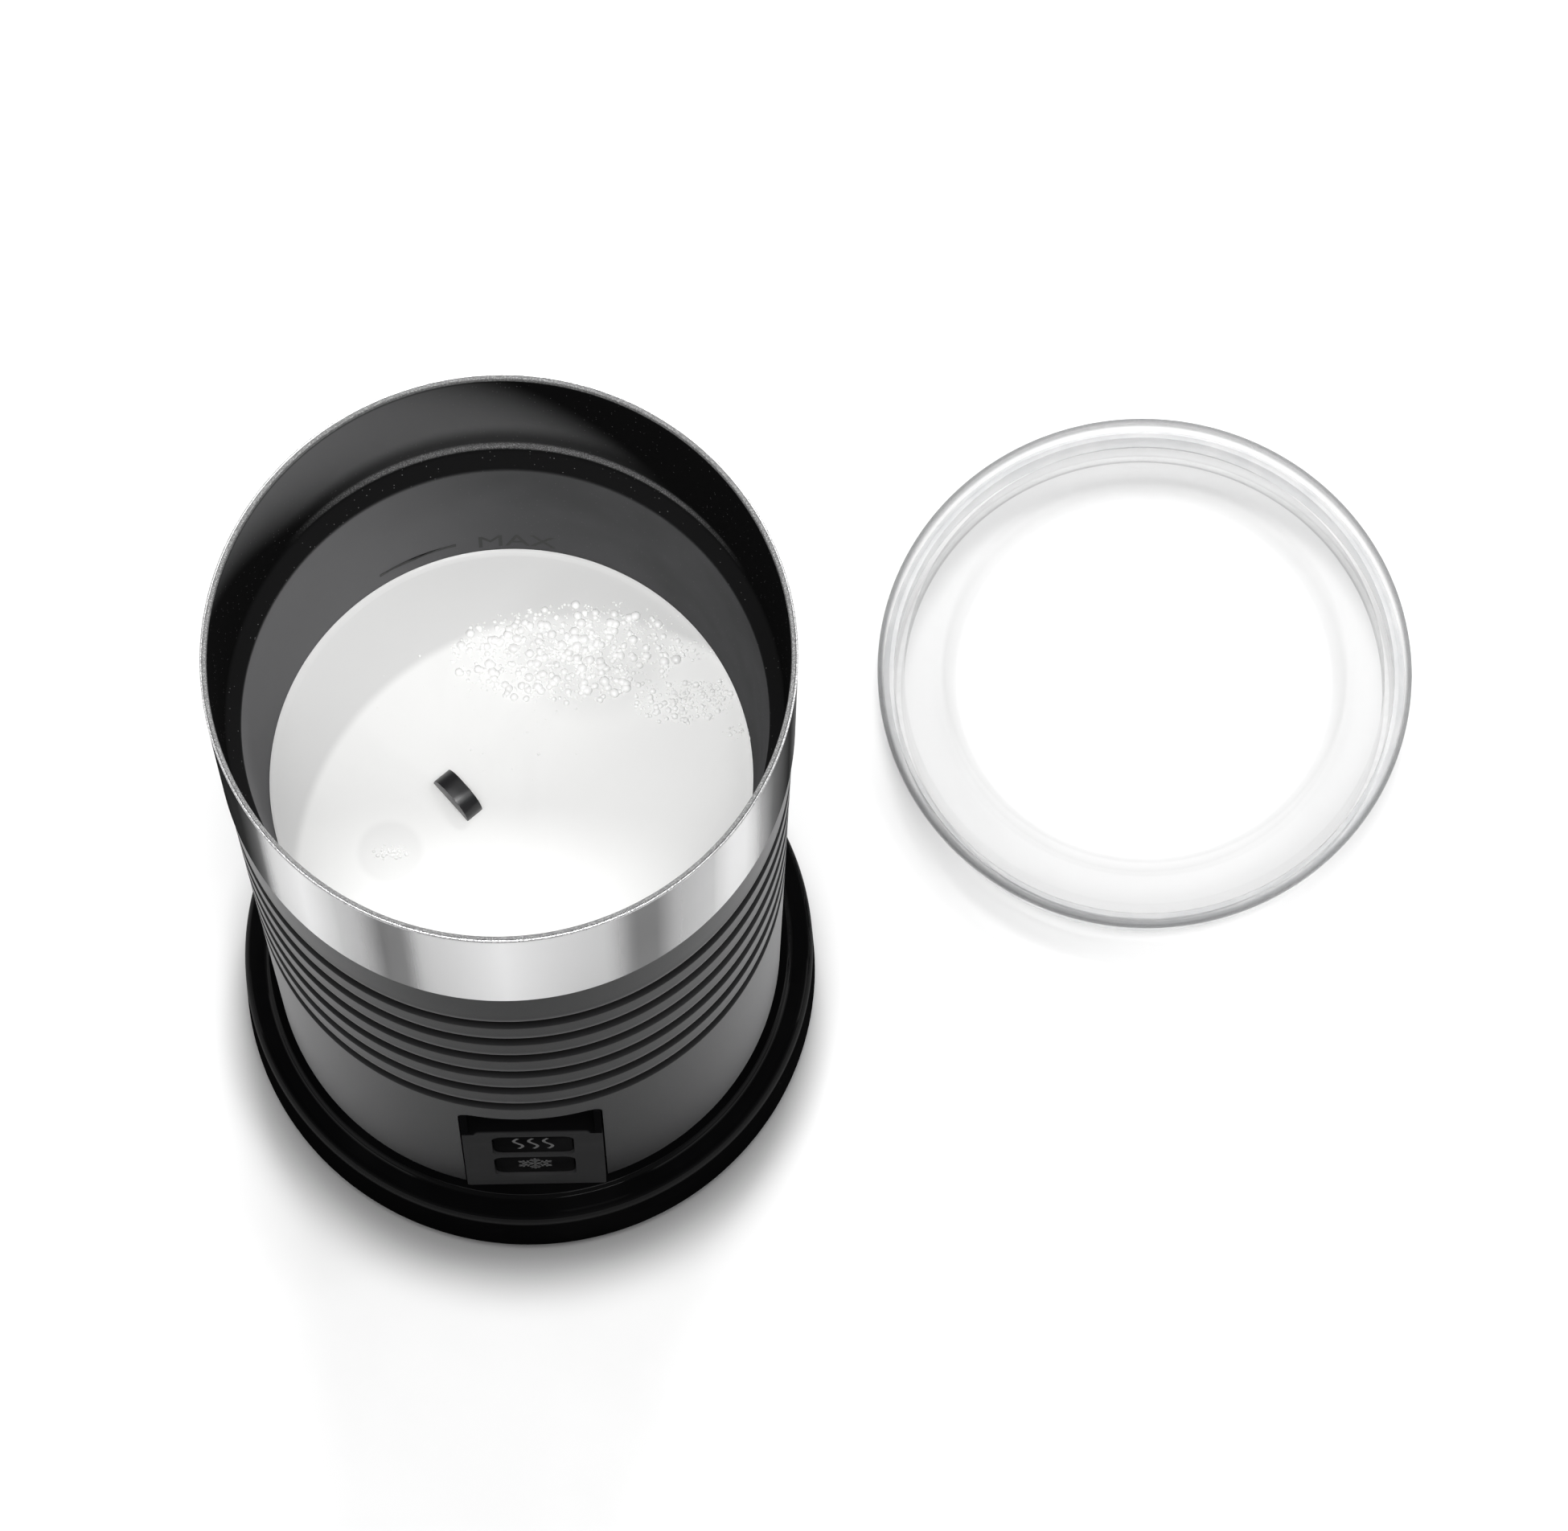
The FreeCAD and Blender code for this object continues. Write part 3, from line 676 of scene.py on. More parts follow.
def coating_finish():
    """Dark non-stick coating with pale specks, painted light on the left of its lower wall and the back of its
    upper wall, painted shade on its shoulder and the sides of its upper wall, and a painted sheen above its
    shoulder.
    """
    shade = Finish("nonstick")
    peel = shade.noise(1500.0, 2.0, 0.55)
    dots = shade.cells(1500.0)
    picked = shade.add("ShaderNodeSeparateColor", {0: dots.out("Color")}).smooth(0.72, 0.78)
    painted_glint = shade.noise(4800.0, 1.0).smooth(0.5, 0.64)
    turn = shade.about()[1]
    depth = RIM_TOP - shade.z
    backwards = turn - math.pi / 2

    wall = shade.mix(finishes().coating, (0.105, 0.105, 0.108), shade.noise(40.0, 3.0).smooth(0.3, 0.7))
    # Painted light: the lower wall paler towards the left
    wall = shade.mix(wall, (0.19, 0.19, 0.193), (turn - 2.8).cos().smooth(0.2, 1.0) * 0.8)
    # Painted shade: a dark band on the shoulder between the walls
    ledge = shade.mix((0.009, 0.009, 0.0092), wall, depth.rise(33.6, 35.0))

    # Painted light on the back of the upper wall, fading lower down and just under the rim; its dark sides are
    # painted shade
    back = (backwards - 0.05 - (28.0 * MM - depth) * 24.0).cos().smooth(0.72, 1.04)
    back = back * (1.0 - depth.rise(19.0, 26.0) * 0.72) * depth.rise(0.4, 1.7)
    upper = shade.mix((0.006, 0.006, 0.0061), (0.14, 0.14, 0.142), back)
    colour = shade.mix(ledge, upper, depth.rise(30.8, 29.0))

    # Painted sheen: a speckled highlight above the shoulder, towards the back
    lip = depth.rise(30.8, 29.8) * depth.rise(27.0, 28.8)
    painted_sheen = lip * (backwards + 0.08).cos().smooth(0.55, 1.0) * (0.45 + painted_glint * 1.1)
    colour = shade.mix(colour, (0.5, 0.5, 0.502), (painted_sheen * 0.5).clamp())
    colour = shade.mix(colour, grey(0.18), dots.smooth(0.16, 0.06) * picked)
    # Pale bare edge at the rim, speckled with painted glints
    edge = depth.rise(1.0, 0.5) * (0.45 + painted_glint * 0.7)
    return shade.finish(
        Base_Color=shade.mix(colour, grey(0.26), edge.clamp()),
        Roughness=0.32 + peel * 0.12,
        Specular_IOR_Level=0.0,
        Normal=shade.bump(peel, 0.03, 0.55),
    )


def panel_finish():
    """Satin panel face with a gloss black scoop above its ledge."""
    shade = Finish("panel_black")
    scoop = shade.z.rise(-15.1, -14.9, PANEL_TOP)
    face = 1.0 - scoop
    grain = shade.noise(6000.0, 2.0)
    haze = shade.noise(120.0, 3.0)
    colour = shade.mix((0.026, 0.026, 0.0265), (0.003, 0.003, 0.0032), scoop)
    return shade.finish(
        Base_Color=shade.mix(colour, (0.034, 0.034, 0.0345), haze.smooth(0.45, 0.8) * face * 0.6),
        Roughness=(0.42 + grain * 0.12) * face + (0.12 + haze * 0.08) * scoop,
        Specular_IOR_Level=0.0,
        Normal=shade.bump(grain * (1.0 - scoop * 0.9), 0.01, 0.4),
    )


def moulded_finish(name, colour, roughness=0.45, grain=0.4, specular=0.5):
    """Moulded plastic: fine spark-eroded grain and slow colour drift."""
    shade = Finish(name)
    fine = shade.noise(4200.0, 2.0, 0.6)
    lighter = tuple(min(1.0, c * 1.3 + 0.006) for c in colour)
    return shade.finish(
        Base_Color=shade.mix(colour, lighter, shade.noise(70.0, 3.0).smooth(0.35, 0.75) * 0.6),
        Roughness=roughness + (fine - 0.5) * 0.12,
        Specular_IOR_Level=specular,
        Normal=shade.bump(fine, 0.015, grain),
    )


def metal_finish(name, colour, roughness=0.3, brushed=0.0):
    """Bare metal with fine brushing and slightly duller patches."""
    shade = Finish(name)
    along = shade.join(shade.x * 300.0, shade.y * 300.0, shade.z * (300.0 + 9000.0 * brushed))
    fine = shade.noise(3.0, 4.0, 0.6, along)
    dull = shade.noise(110.0, 4.0).smooth(0.5, 0.8)
    return shade.finish(
        Base_Color=shade.mix(colour, tuple(c * 0.72 for c in colour), dull * 0.7),
        Metallic=1.0,
        Roughness=roughness + fine * 0.12 + dull * 0.1,
        Normal=shade.bump(fine, 0.006, 0.4),
    )


def rubber_finish(name, colour, roughness=0.7):
    """Soft rubber: matt, with a fine bloom and lint-sized pits."""
    shade = Finish(name)
    bloom = shade.noise(150.0, 4.0).smooth(0.4, 0.75)
    paler = tuple(min(1.0, c * 1.25 + 0.02) for c in colour)
    return shade.finish(
        Base_Color=shade.mix(colour, paler, bloom * 0.5),
        Roughness=roughness + bloom * 0.1,
        Specular_IOR_Level=0.35,
        Normal=shade.bump(shade.cells(2400.0).smooth(0.0, 0.35), 0.02, 0.35),
    )


def board_finish():
    """Circuit board: green mask over copper runs, with pale pads."""
    shade = Finish("board_green")
    place = shade.join(shade.x * 420.0, shade.y * 60.0, shade.z * 420.0)
    runs = shade.cells(1.0, place, "DISTANCE_TO_EDGE").smooth(0.06, 0.04)
    pads = shade.cells(700.0).smooth(0.2, 0.16)
    mask = shade.mix((0.01, 0.11, 0.045), (0.02, 0.2, 0.075), runs)
    return shade.finish(
        Base_Color=shade.mix(mask, (0.62, 0.55, 0.36), pads),
        Roughness=0.34 + runs * 0.08,
        Metallic=pads * 0.7,
        Normal=shade.bump(runs * 0.5 + pads, 0.03, 0.6),
    )


def element_finish():
    """Heating element sheath: steel with straw and blue heat tints."""
    shade = Finish("element_steel")
    stops = [(0.3, (0.55, 0.53, 0.5)), (0.5, (0.6, 0.45, 0.26)), (0.65, (0.3, 0.3, 0.42)), (0.8, grey(0.5))]
    fine = shade.noise(3000.0, 3.0)
    return shade.finish(
        Base_Color=shade.add("ShaderNodeValToRGB", {"Fac": shade.noise(85.0, 3.0)}, stops=stops),
        Metallic=1.0,
        Roughness=0.34 + fine * 0.14,
        Normal=shade.bump(fine, 0.01, 0.4),
    )


def lid_finish():
    """Clear moulded lid: a thin see-through wall that greys towards its edges."""
    shade = Finish("clear_plastic")
    swirl = shade.noise(70.0, 3.0)
    radius = shade.about(LID_AXIS.x, LID_AXIS.y)[0]
    rim = radius.rise(34.0, 37.0)
    skin = radius.rise(-1.2, -0.5, LID_RADIUS)
    wall = radius.rise(33.4, 34.4) * radius.rise(37.0, 36.0)
    outline = shade.facing_away(0.35) ** 4.0
    alpha = 0.034 + rim * 0.048 + wall * 0.05 + skin * 0.5 + outline * 0.4 + swirl * 0.012
    return shade.finish(
        Base_Color=finishes().lid_tint,
        Roughness=0.08 + swirl * 0.06,
        Alpha=alpha.clamp(),
        Specular_IOR_Level=0.2,
        Normal=shade.bump(shade.noise(120.0, 2.0), 0.02, 0.25),
    )


def seal_finish():
    """Pale, half-clear silicone with a soft bloom."""
    shade = Finish("pale_silicone")
    bloom = shade.noise(180.0, 3.0)
    return shade.finish(
        Base_Color=shade.mix((0.78, 0.79, 0.8), grey(0.9), bloom.smooth(0.35, 0.7)),
        Roughness=0.45 + bloom * 0.15,
        Alpha=0.35,
        Normal=shade.bump(bloom, 0.03, 0.3),
    )


def milk_finish():
    """Milk with a faint swirl of cream, a painted shadow of the rim along the wall, and painted shade under the
    foam and round a small cluster of bubbles.
    """
    shade = Finish("milk")
    swirl = shade.noise(38.0, distortion=1.6)
    # Painted shadow of the rim along the wall
    painted_rim_shadow = shade.away(10.0, -18.0).rise(45.5, 47.5) * 0.85
    # Painted shade under the foam patch
    painted_foam_shade = shade.away(14.0, 25.0).rise(17.0, 9.0) * (0.25 + swirl * 0.3)
    # Painted shade under and round the small cluster of bubbles
    ring = shade.away(-20.5, -12.6).rise(6.2, 4.6) * 0.35
    colour = shade.mix(finishes().milk, (0.86, 0.86, 0.85), swirl.smooth(0.42, 0.7) * 0.5)
    for tone, share in (((0.66, 0.66, 0.655), painted_rim_shadow), ((0.6, 0.6, 0.595), painted_foam_shade), ((0.7, 0.7, 0.695), ring)):
        colour = shade.mix(colour, tone, share)
    return shade.finish(Base_Color=colour, Roughness=0.3 + swirl * 0.1, Normal=shade.bump(swirl, 0.1, 0.3))


def foam_finish():
    """Pale, wet bubbles."""
    shade = Finish("foam")
    drift = shade.noise(300.0, 3.0)
    colour = shade.mix((0.97, 0.97, 0.96), (0.84, 0.84, 0.83), drift.smooth(0.4, 0.8))
    return shade.finish(Base_Color=colour, Roughness=0.18, Normal=shade.bump(drift, 0.02, 0.3))


def print_finish(name, tone):
    """Pad-printed ink, slightly uneven at its edges."""
    shade = Finish(name)
    ink = shade.noise(2500.0, 3.0)
    colour = shade.mix(grey(tone), grey(tone * 0.7), ink.smooth(0.4, 0.8) * 0.6)
    return shade.finish(Base_Color=colour, Roughness=0.55 + ink * 0.1, Normal=shade.bump(ink, 0.01, 0.3))


def floor_finish():
    """Pale floor with the soft shade of the base along its edge."""
    shade = Finish("floor")
    colour = shade.mix(grey(0.71), grey(0.7), shade.noise(60.0, 3.0).smooth(0.3, 0.7))
    contact = shade.away(-0.5, -6.0).rise(9.0, -6.0, BASE_RADIUS) ** 1.3
    colour = shade.mix(colour, grey(0.1), contact * 0.8)
    return shade.finish(Base_Color=colour, Roughness=0.85, Specular_IOR_Level=0.1)


# ---------------------------------------------------------------- base


def make_base_shell():
    """Round base with a stepped seat, hollow underneath."""
    radius = BASE_RADIUS / MM
    top = BASE_TOP / MM
    skirt = low("base_shell").z / MM
    collar = high("connector_post").x / MM - 4.0 + 0.3
    outline = [
        (radius - 2.0, skirt),
        (radius - 0.7, skirt, 0.5),
        (radius, skirt + 1.8, 1.0),
        (radius - 0.4, top - 1.8, 2.6),
        (radius - 4.3, top - 0.7, 0.3),
        (radius - 4.8, top, 0.3),
        (collar, top, 0.25),
        (collar, top - 2.0),
        (radius - 5.4, top - 2.0, 0.5),
        (radius - 2.6, top - 3.7, 1.4),
    ]
    shell = lathe("base_shell_turned", rounded(outline), around=288)
    bore = lathe("bore", rounded([(0, 44.0), (4.5, 44.0), (4.5, 56.0), (0, 56.0)]), around=48)
    cut(shell, placed(bore, (0, 0, middle("cord_gland").z), FORWARD))
    return shell


def on_a_circle(name, piece, count, radius, phase, finish):
    """Copies of one piece on a circle, each turned with its place."""

    def layout(recipe, index, count):
        radius, phase = recipe.given("Radius", "Phase")
        turn = index * math.tau / count + phase
        return recipe.join(radius * turn.cos(), radius * turn.sin(), 0.0), recipe.join(0.0, 0.0, turn)

    recipe = pattern(name, layout, Radius="Float", Phase="Float")
    return recipe.make(piece, Count=count, Radius=radius * MM, Phase=math.radians(phase), Finish=finish)


def make_screws(name, node, count, circle, phase, radius, shank):
    """Cross-headed screws on a circle, head down, as tall as the node they stand for."""
    foot = low(node).z / MM
    tip = high(node).z / MM
    under_head = foot + 0.75
    outline = [(0, foot), (radius, foot, 0.35), (radius, under_head, 0.1), (shank, under_head)]
    outline += [(shank, tip - 1.0), (shank * 0.35, tip), (0, tip)]
    screw = lathe(name, rounded(outline), around=32)
    for long, wide in ((1.7, 0.36), (0.36, 1.7)):
        corners = rounded([(-long, -wide), (long, -wide), (long, wide), (-long, wide)])
        cut(screw, prism("slot", corners, (foot - 1.0) * MM, (foot + 0.5) * MM, lying))
    return on_a_circle(name, screw, count, circle, phase, metal_finish(name + "_zinc", (0.62, 0.63, 0.66)))


def make_bosses(finish):
    """Four screw posts inside the base."""
    foot = low("bottom_plate").z / MM + 2.0
    top = BASE_TOP / MM - 2.0
    outline = [(1.3, foot), (3.2, foot, 0.2), (3.2, top), (1.3, top)]
    return on_a_circle("base_bosses", lathe("boss", rounded(outline), around=32), 4, PLATE_CIRCLE, 45.0, finish)


class FROTHER_OT_base(bpy.types.Operator):
    """Turn the glossy base with its screw posts, foot ring, screws and cord gland"""

    bl_idname = "frother.base"
    bl_label = "Base"

    def execute(self, context):
        black = gloss_black_finish()
        shell = make_base_shell()
        use(shell, black)
        piece = join("base_body", [shell, make_bosses(black)], SHARP)
        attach(piece, "base")
        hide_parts("base_shell")

        inner = 39.0
        foot = low("foot_ring").z / MM
        outer = high("foot_ring").x / MM
        top = high("foot_ring").z / MM
        outline = [(inner, foot, 0.5), (inner + 1.6, 0.0, 0.2), (inner + 2.0, 0.35, 0.2), (outer - 2.0, 0.35, 0.2)]
        outline += [(outer - 1.6, 0.0, 0.2), (outer, 0.0, 0.5), (outer, top), (inner, top)]
        ring = lathe("grip_foot", rounded(outline), around=192)
        use(ring, rubber_finish("foot_rubber", (0.03, 0.03, 0.031)))
        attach(ring, "base")
        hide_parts("foot_ring")

        screws = make_screws("plate_screws", "base_screws", 4, PLATE_CIRCLE, 45.0, 2.8, 1.25)
        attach(screws, "base")
        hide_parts("base_screws")

        back = high("cord_gland").y / MM
        outline = [(3.1, 45.0, 0.3), (4.4, 45.0, 0.3), (4.4, back - 1.15), (5.7, back - 1.15, 0.2)]
        outline += [(5.7, back, 0.4), (3.1, back, 0.5)]
        gland = lathe("gland_sleeve", rounded(outline), around=64)
        placed(gland, (0, 0, middle("cord_gland").z), FORWARD)
        use(gland, rubber_finish("gland_rubber", (0.018, 0.018, 0.019), 0.6))
        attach(gland, "base")
        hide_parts("cord_gland")
        return {"FINISHED"}


# ---------------------------------------------------------------- jug body


def make_window():
    """Opening at the front for the panel, a little wider than it."""
    half = (high("button_panel").x - low("button_panel").x) / 2 / MM + 0.3
    x = PANEL_X / MM
    return plate("window", (x - half, x + half), (-5.0, PANEL_TOP / MM + 0.3), (-60.0, -34.0), top=3.0)


def sleeve_radius(height):
    """Outer radius of the sleeve's plain taper, in metres."""
    share = (height - SLEEVE_FOOT) / (SLEEVE_TOP - SLEEVE_FOOT)
    return SLEEVE_TOP_RADIUS - 2.8 * MM * (1 - share)


def groove_heights():
    top = SLEEVE_TOP - 17.1 * MM
    return [top - i * sizes().groove_pitch for i in range(sizes().groove_count)]


# Heights of the sleeve's rows from its foot, from each groove and from its top, in millimetres
FOOT_ROWS = (0.15, 0.35, 0.6)
GROOVE_ROWS = (-1.75, -1.4, -1.2, -0.9, -0.6, -0.3, -0.1, 0.1, 0.35, 0.7, 1.1, 1.6, 2.1, 2.7, 3.3, 3.9, 4.5, 5.1)
TOP_ROWS = (-6.0, -0.45, -0.25, -0.1)


def plain_sleeve():
    """Tapered sleeve without its grooves, with closely spaced rows where they go."""
    rows = [SLEEVE_FOOT + step * MM for step in FOOT_ROWS]
    for deepest in reversed(groove_heights()):
        rows += [deepest + step * MM for step in GROOVE_ROWS]
    rows += [SLEEVE_TOP + step * MM for step in TOP_ROWS]
    wall = 2.4 * MM
    foot_radius = sleeve_radius(SLEEVE_FOOT)
    points = [(foot_radius - wall, SLEEVE_FOOT), (foot_radius - 0.6 * MM, SLEEVE_FOOT)]
    points += [(foot_radius - 0.2 * MM, SLEEVE_FOOT + 0.03 * MM)]
    points += [(sleeve_radius(row), row) for row in rows]
    points += [(SLEEVE_TOP_RADIUS - 0.12 * MM, SLEEVE_TOP - 0.02 * MM), (SLEEVE_TOP_RADIUS - 0.4 * MM, SLEEVE_TOP)]
    points += [(SLEEVE_TOP_RADIUS - wall, SLEEVE_TOP)]
    return lathe("grip_rings", points)


def groove_recipe():
    """Rolls level grooves into a turned body: a slow roll in from above and a sharp lip below."""
    recipe = Recipe(
        "Grip grooves", Count="Int", Lowest="Float", Pitch="Float", Depth="Float", Least_radius="Float"
    )
    x, y, z = recipe.position()
    above, within = nearest_groove(z, *recipe.given("Lowest", "Pitch", "Count"))
    roll = (1.0 - above / (4.9 * MM)).clamp() ** 2.3
    lip = (1.0 + above / (1.4 * MM)).clamp().smooth(0.0, 1.0)
    radius = (x * x + y * y).root()
    outside = radius > recipe.given("Least radius")
    inwards = recipe.given("Depth") * roll.math("MINIMUM", roll, lip) * within * outside
    share = (inwards / radius) * -1.0
    values = {"Geometry": recipe.given("Geometry"), "Offset": recipe.join(x * share, y * share, 0.0)}
    return recipe.end(recipe.add("GeometryNodeSetPosition", values))


def make_sleeve(finish):
    sleeve = plain_sleeve()
    groove_recipe().make(
        sleeve,
        40.0,
        Count=sizes().groove_count,
        Lowest=groove_heights()[-1],
        Pitch=sizes().groove_pitch,
        Depth=sizes().groove_depth,
        Least_radius=SLEEVE_TOP_RADIUS - 4.0 * MM,
        Finish=finish,
    )
    cut(sleeve, make_window(), 40.0)
    use(sleeve, finish)
    return sleeve


def make_steel_shell(finish):
    rim = RIM_RADIUS / MM
    top = RIM_TOP / MM
    step = SLEEVE_TOP / MM
    step_radius = SLEEVE_TOP_RADIUS / MM
    foot = low("steel_shell").z / MM
    foot_radius = sleeve_radius(low("steel_shell").z) / MM
    outline = [
        (foot_radius - 2.4, foot),
        (step_radius - 2.4, step),
        (rim - 0.6, step + 0.5, 0.3),
        (rim - 0.02, top - 1.2, 3.0),
        (rim, top, 0.2),
        (rim - 0.4, top, 0.15),
        (rim - 1.0, step + 0.9),
        (step_radius - 2.8, step + 0.9),
        (foot_radius - 2.8, foot),
    ]
    shell = lathe("steel_band", rounded(outline), around=288)
    cut(shell, make_window())
    use(shell, finish)
    return shell


def pot_radius(height):
    """Inner radius of the pot's long lower wall, in metres."""
    share = (height - POT_FLOOR) / (RIM_TOP - POT_SHOULDER * MM - POT_FLOOR)
    return (36.4 + 7.3 * share) * MM


def make_pot(finish):
    floor = POT_FLOOR / MM
    top = RIM_TOP / MM
    rim = RIM_RADIUS / MM - 1.0
    outline = [
        (0.0, floor),
        (36.4, floor, 5.0),
        (43.7, top - POT_SHOULDER, 1.2),
        (46.1, top - 31.1, 1.6),
        (rim - 0.15, top - 1.0, 1.5),
        (rim, top, 0.2),
        (rim + 0.58, top),
        (rim + 0.58, top - 0.6),
        (46.9, top - 31.4, 1.6),
        (44.5, top - 34.6, 1.2),
        (37.2, floor - POT_WALL, 5.8),
        (0.0, floor - POT_WALL),
    ]
    pot = lathe("pot_coated", rounded(outline, math.radians(9)), around=240)
    use(pot, finish)
    return pot


def wrap_on_wall(piece, centre_x, centre_z):
    """Bends a flat piece (x across, y up, z proud) onto the back of the pot's wall, as read from the front."""
    lift = 0.06 * MM
    for vert in piece.data.vertices:
        across, up, proud = vert.co
        height = centre_z + up
        radius = pot_radius(height) - proud + lift
        turn = (centre_x + across) / radius
        vert.co = (radius * math.sin(turn), radius * math.cos(turn), height)
    piece.data.update()
    return piece


def make_level_word():
    """Flat raised word for the highest level, with its long edges split so that it can bend."""
    text = bpy.data.curves.new("level_word", "FONT")
    text.body = "MAX"
    text.size = sizes().mark_height / 0.7
    text.align_x = "CENTER"
    text.extrude = 0.09 * MM
    text.resolution_u = 6
    word = new_object("level_word", text)
    bpy.context.view_layer.update()
    graph = bpy.context.evaluated_depsgraph_get()
    mesh = bpy.data.meshes.new_from_object(word.evaluated_get(graph), depsgraph=graph)
    bpy.data.objects.remove(word)
    bpy.data.curves.remove(text)

    def split_long(body):
        bmesh.ops.remove_doubles(body, verts=body.verts, dist=1e-6)
        long = [edge for edge in body.edges if edge.calc_length() > 0.8 * MM]
        bmesh.ops.subdivide_edges(body, edges=long, cuts=3)
        bmesh.ops.triangulate(body, faces=body.faces)

    rework(mesh, split_long)
    return new_object("level_word", mesh)


def make_level_mark(ink):
    """Raised word for the highest level on the back wall, and the short line beside it."""
    word = wrap_on_wall(make_level_word(), 1.2 * MM, MILK_LEVEL + 1.6 * MM)
    steps = 24
    length = 14.0 * MM
    places = [-length * i / steps for i in range(steps + 1)]
    points = [(across, 0.35 * MM) for across in places] + [(across, -0.35 * MM) for across in reversed(places)]
    line = prism("level_line", points, -0.03 * MM, 0.15 * MM, lying)
    wrap_on_wall(line, -9.0 * MM, MILK_LEVEL + 4.4 * MM)
    for piece in (word, line):
        use(piece, ink)
    return join("level_mark", [word, line])


class FROTHER_OT_jug(bpy.types.Operator):
    """Turn the jug's steel band, grooved grip sleeve and coated pot with its level mark"""

    bl_idname = "frother.jug"
    bl_label = "Jug"

    def execute(self, context):
        sleeve = make_sleeve(grip_finish())
        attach(sleeve, "jug")
        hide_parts("grip_sleeve")

        shell = make_steel_shell(brushed_band_finish())
        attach(shell, "jug")
        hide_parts("steel_shell")

        pot = make_pot(coating_finish())
        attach(pot, "jug")
        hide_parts("inner_pot")

        mark = make_level_mark(print_finish("level_ink", 0.02))
        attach(mark, "jug")

        screws = make_screws("cap_fixings", "cap_screws", 3, CAP_CIRCLE, 90.0, 2.4, 1.2)
        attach(screws, "jug")
        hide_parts("cap_screws")
        return {"FINISHED"}


# ---------------------------------------------------------------- panel and buttons


def make_panel():
    """Flat upright panel with two button windows, and a thumb scoop above its ledge."""
    x = PANEL_X / MM
    left, right = low("button_panel").x / MM, high("button_panel").x / MM
    foot, top = low("button_panel").z / MM, PANEL_TOP / MM
    face = PANEL_FACE_Y / MM
    back = face + 4.9
    ledge = top - 15.2
    panel = plate("front_panel", (left, right), (foot, top), (face, back), foot=0.6, top=2.7)
    radius = (top - ledge) * 0.62
    reach = 3.6
    deepest = face - reach + radius
    bulge = plate("bulge", (left, right), (ledge - 2.0, top), (back - 0.5, deepest + 1.2), foot=2.7, top=2.7)
    cut(panel, bulge, operation="UNION")
    half = (right - left) / 2 - 1.2
    scoop = lathe("scoop", rounded([(0, -half), (radius, -half, 1.6), (radius, half, 1.6), (0, half)]), around=96)
    middle_z = (ledge + math.sqrt(radius**2 - reach**2)) * MM
    placed(scoop, (PANEL_X, (face - reach) * MM, middle_z), Matrix.Rotation(math.pi / 2, 4, "Y"))
    cut(panel, scoop)
    hollow = plate("hollow", (left + 1.8, right - 1.8), (foot + 1.8, ledge - 1.2), (face + 2.0, back + 1.0))
    cut(panel, hollow)
    for node in ("hot_button", "cold_button"):
        z = middle(node).z / MM
        sides = (x - 7.15, x + 7.15)
        cut(panel, plate("window", sides, (z - 6.0, z + 6.0), (face - 4, face + 2.5), foot=2.1, top=2.1))
    soften(panel, 0.22)
    return panel


def make_button(node, finish, ink, icon):
    """One push button: a crowned cap on a flange with its plunger, and its symbol."""
    x = PANEL_X / MM
    z = middle(node).z / MM
    front = low(node).y / MM
    rear = high(node).y / MM
    cap = plate("cap", (x - 6.85, x + 6.85), (z - 5.7, z + 5.7), (front, front + 1.9), foot=1.8, top=1.8)
    soften(cap, 0.45, segments=3)
    sides = (x - 8.05, x + 8.05)
    flange = plate("flange", sides, (z - 6.1, z + 6.1), (front + 1.8, front + 2.7), foot=1.8, top=1.8)
    soften(flange, 0.12, segments=1)
    length = rear - front - 2.6
    stalk = lathe("stalk", rounded([(0, 0), (1.6, 0), (1.6, length, 0.3), (0, length)]), around=32)
    placed(stalk, (PANEL_X, (front + 2.6) * MM, z * MM), FORWARD)
    for piece in (cap, flange, stalk):
        use(piece, finish)
    placed(icon, (PANEL_X, front * MM, z * MM))
    use(icon, ink)
    return join(node + "_cap", [cap, flange, stalk, icon], 40.0)


def strip(name, points, width):
    """Thin strip of one width along a path of (x, z), all in millimetres."""
    left, right = [], []
    for i, point in enumerate(points):
        ahead = Vector(points[min(i + 1, len(points) - 1)])
        along = (ahead - Vector(points[max(i - 1, 0)])).normalized()
        side = Vector((-along.y, along.x)) * width / 2
        left.append((Vector(point) + side) * MM)
        right.append((Vector(point) - side) * MM)
    outline = left + right[::-1]
    if signed_area(outline) < 0:
        outline = outline[::-1]
    return prism(name, outline, -0.04 * MM, 0.1 * MM)


def make_steam_icon(ink):
    """Three wavy lines side by side, for heat."""
    steps = 20
    path = [(0.75 * math.sin(math.tau * i / steps), (i / steps - 0.5) * 6.4) for i in range(steps + 1)]

    def layout(recipe, index, count):
        across = index - (count - 1.0) / 2.0
        return recipe.join(across * recipe.given("Spacing"), 0.0, 0.0), (0.0, 0.0, 0.0)

    recipe = pattern("steam_lines", layout, Spacing="Float")
    return recipe.make(strip("steam", path, 0.55), 30.0, Count=3, Spacing=2.6 * MM, Finish=ink)


def make_snow_icon(ink):
    """Six-armed star with forked arms, for cold."""
    strips = [strip("arm", [(0.0, 0.0), (0.0, 3.3)], 0.42)]
    for side in (-1.0, 1.0):
        for height, reach in ((1.35, 0.95), (2.25, 0.75)):
            strips.append(strip("fork", [(0.0, height), (side * reach, height + reach * 0.75)], 0.36))

    def layout(recipe, index, count):
        return (0.0, 0.0, 0.0), recipe.join(0.0, index * math.tau / count, 0.0)

    return pattern("snow_star", layout).make(join("snow_arm", strips), 30.0, Count=6, Finish=ink)


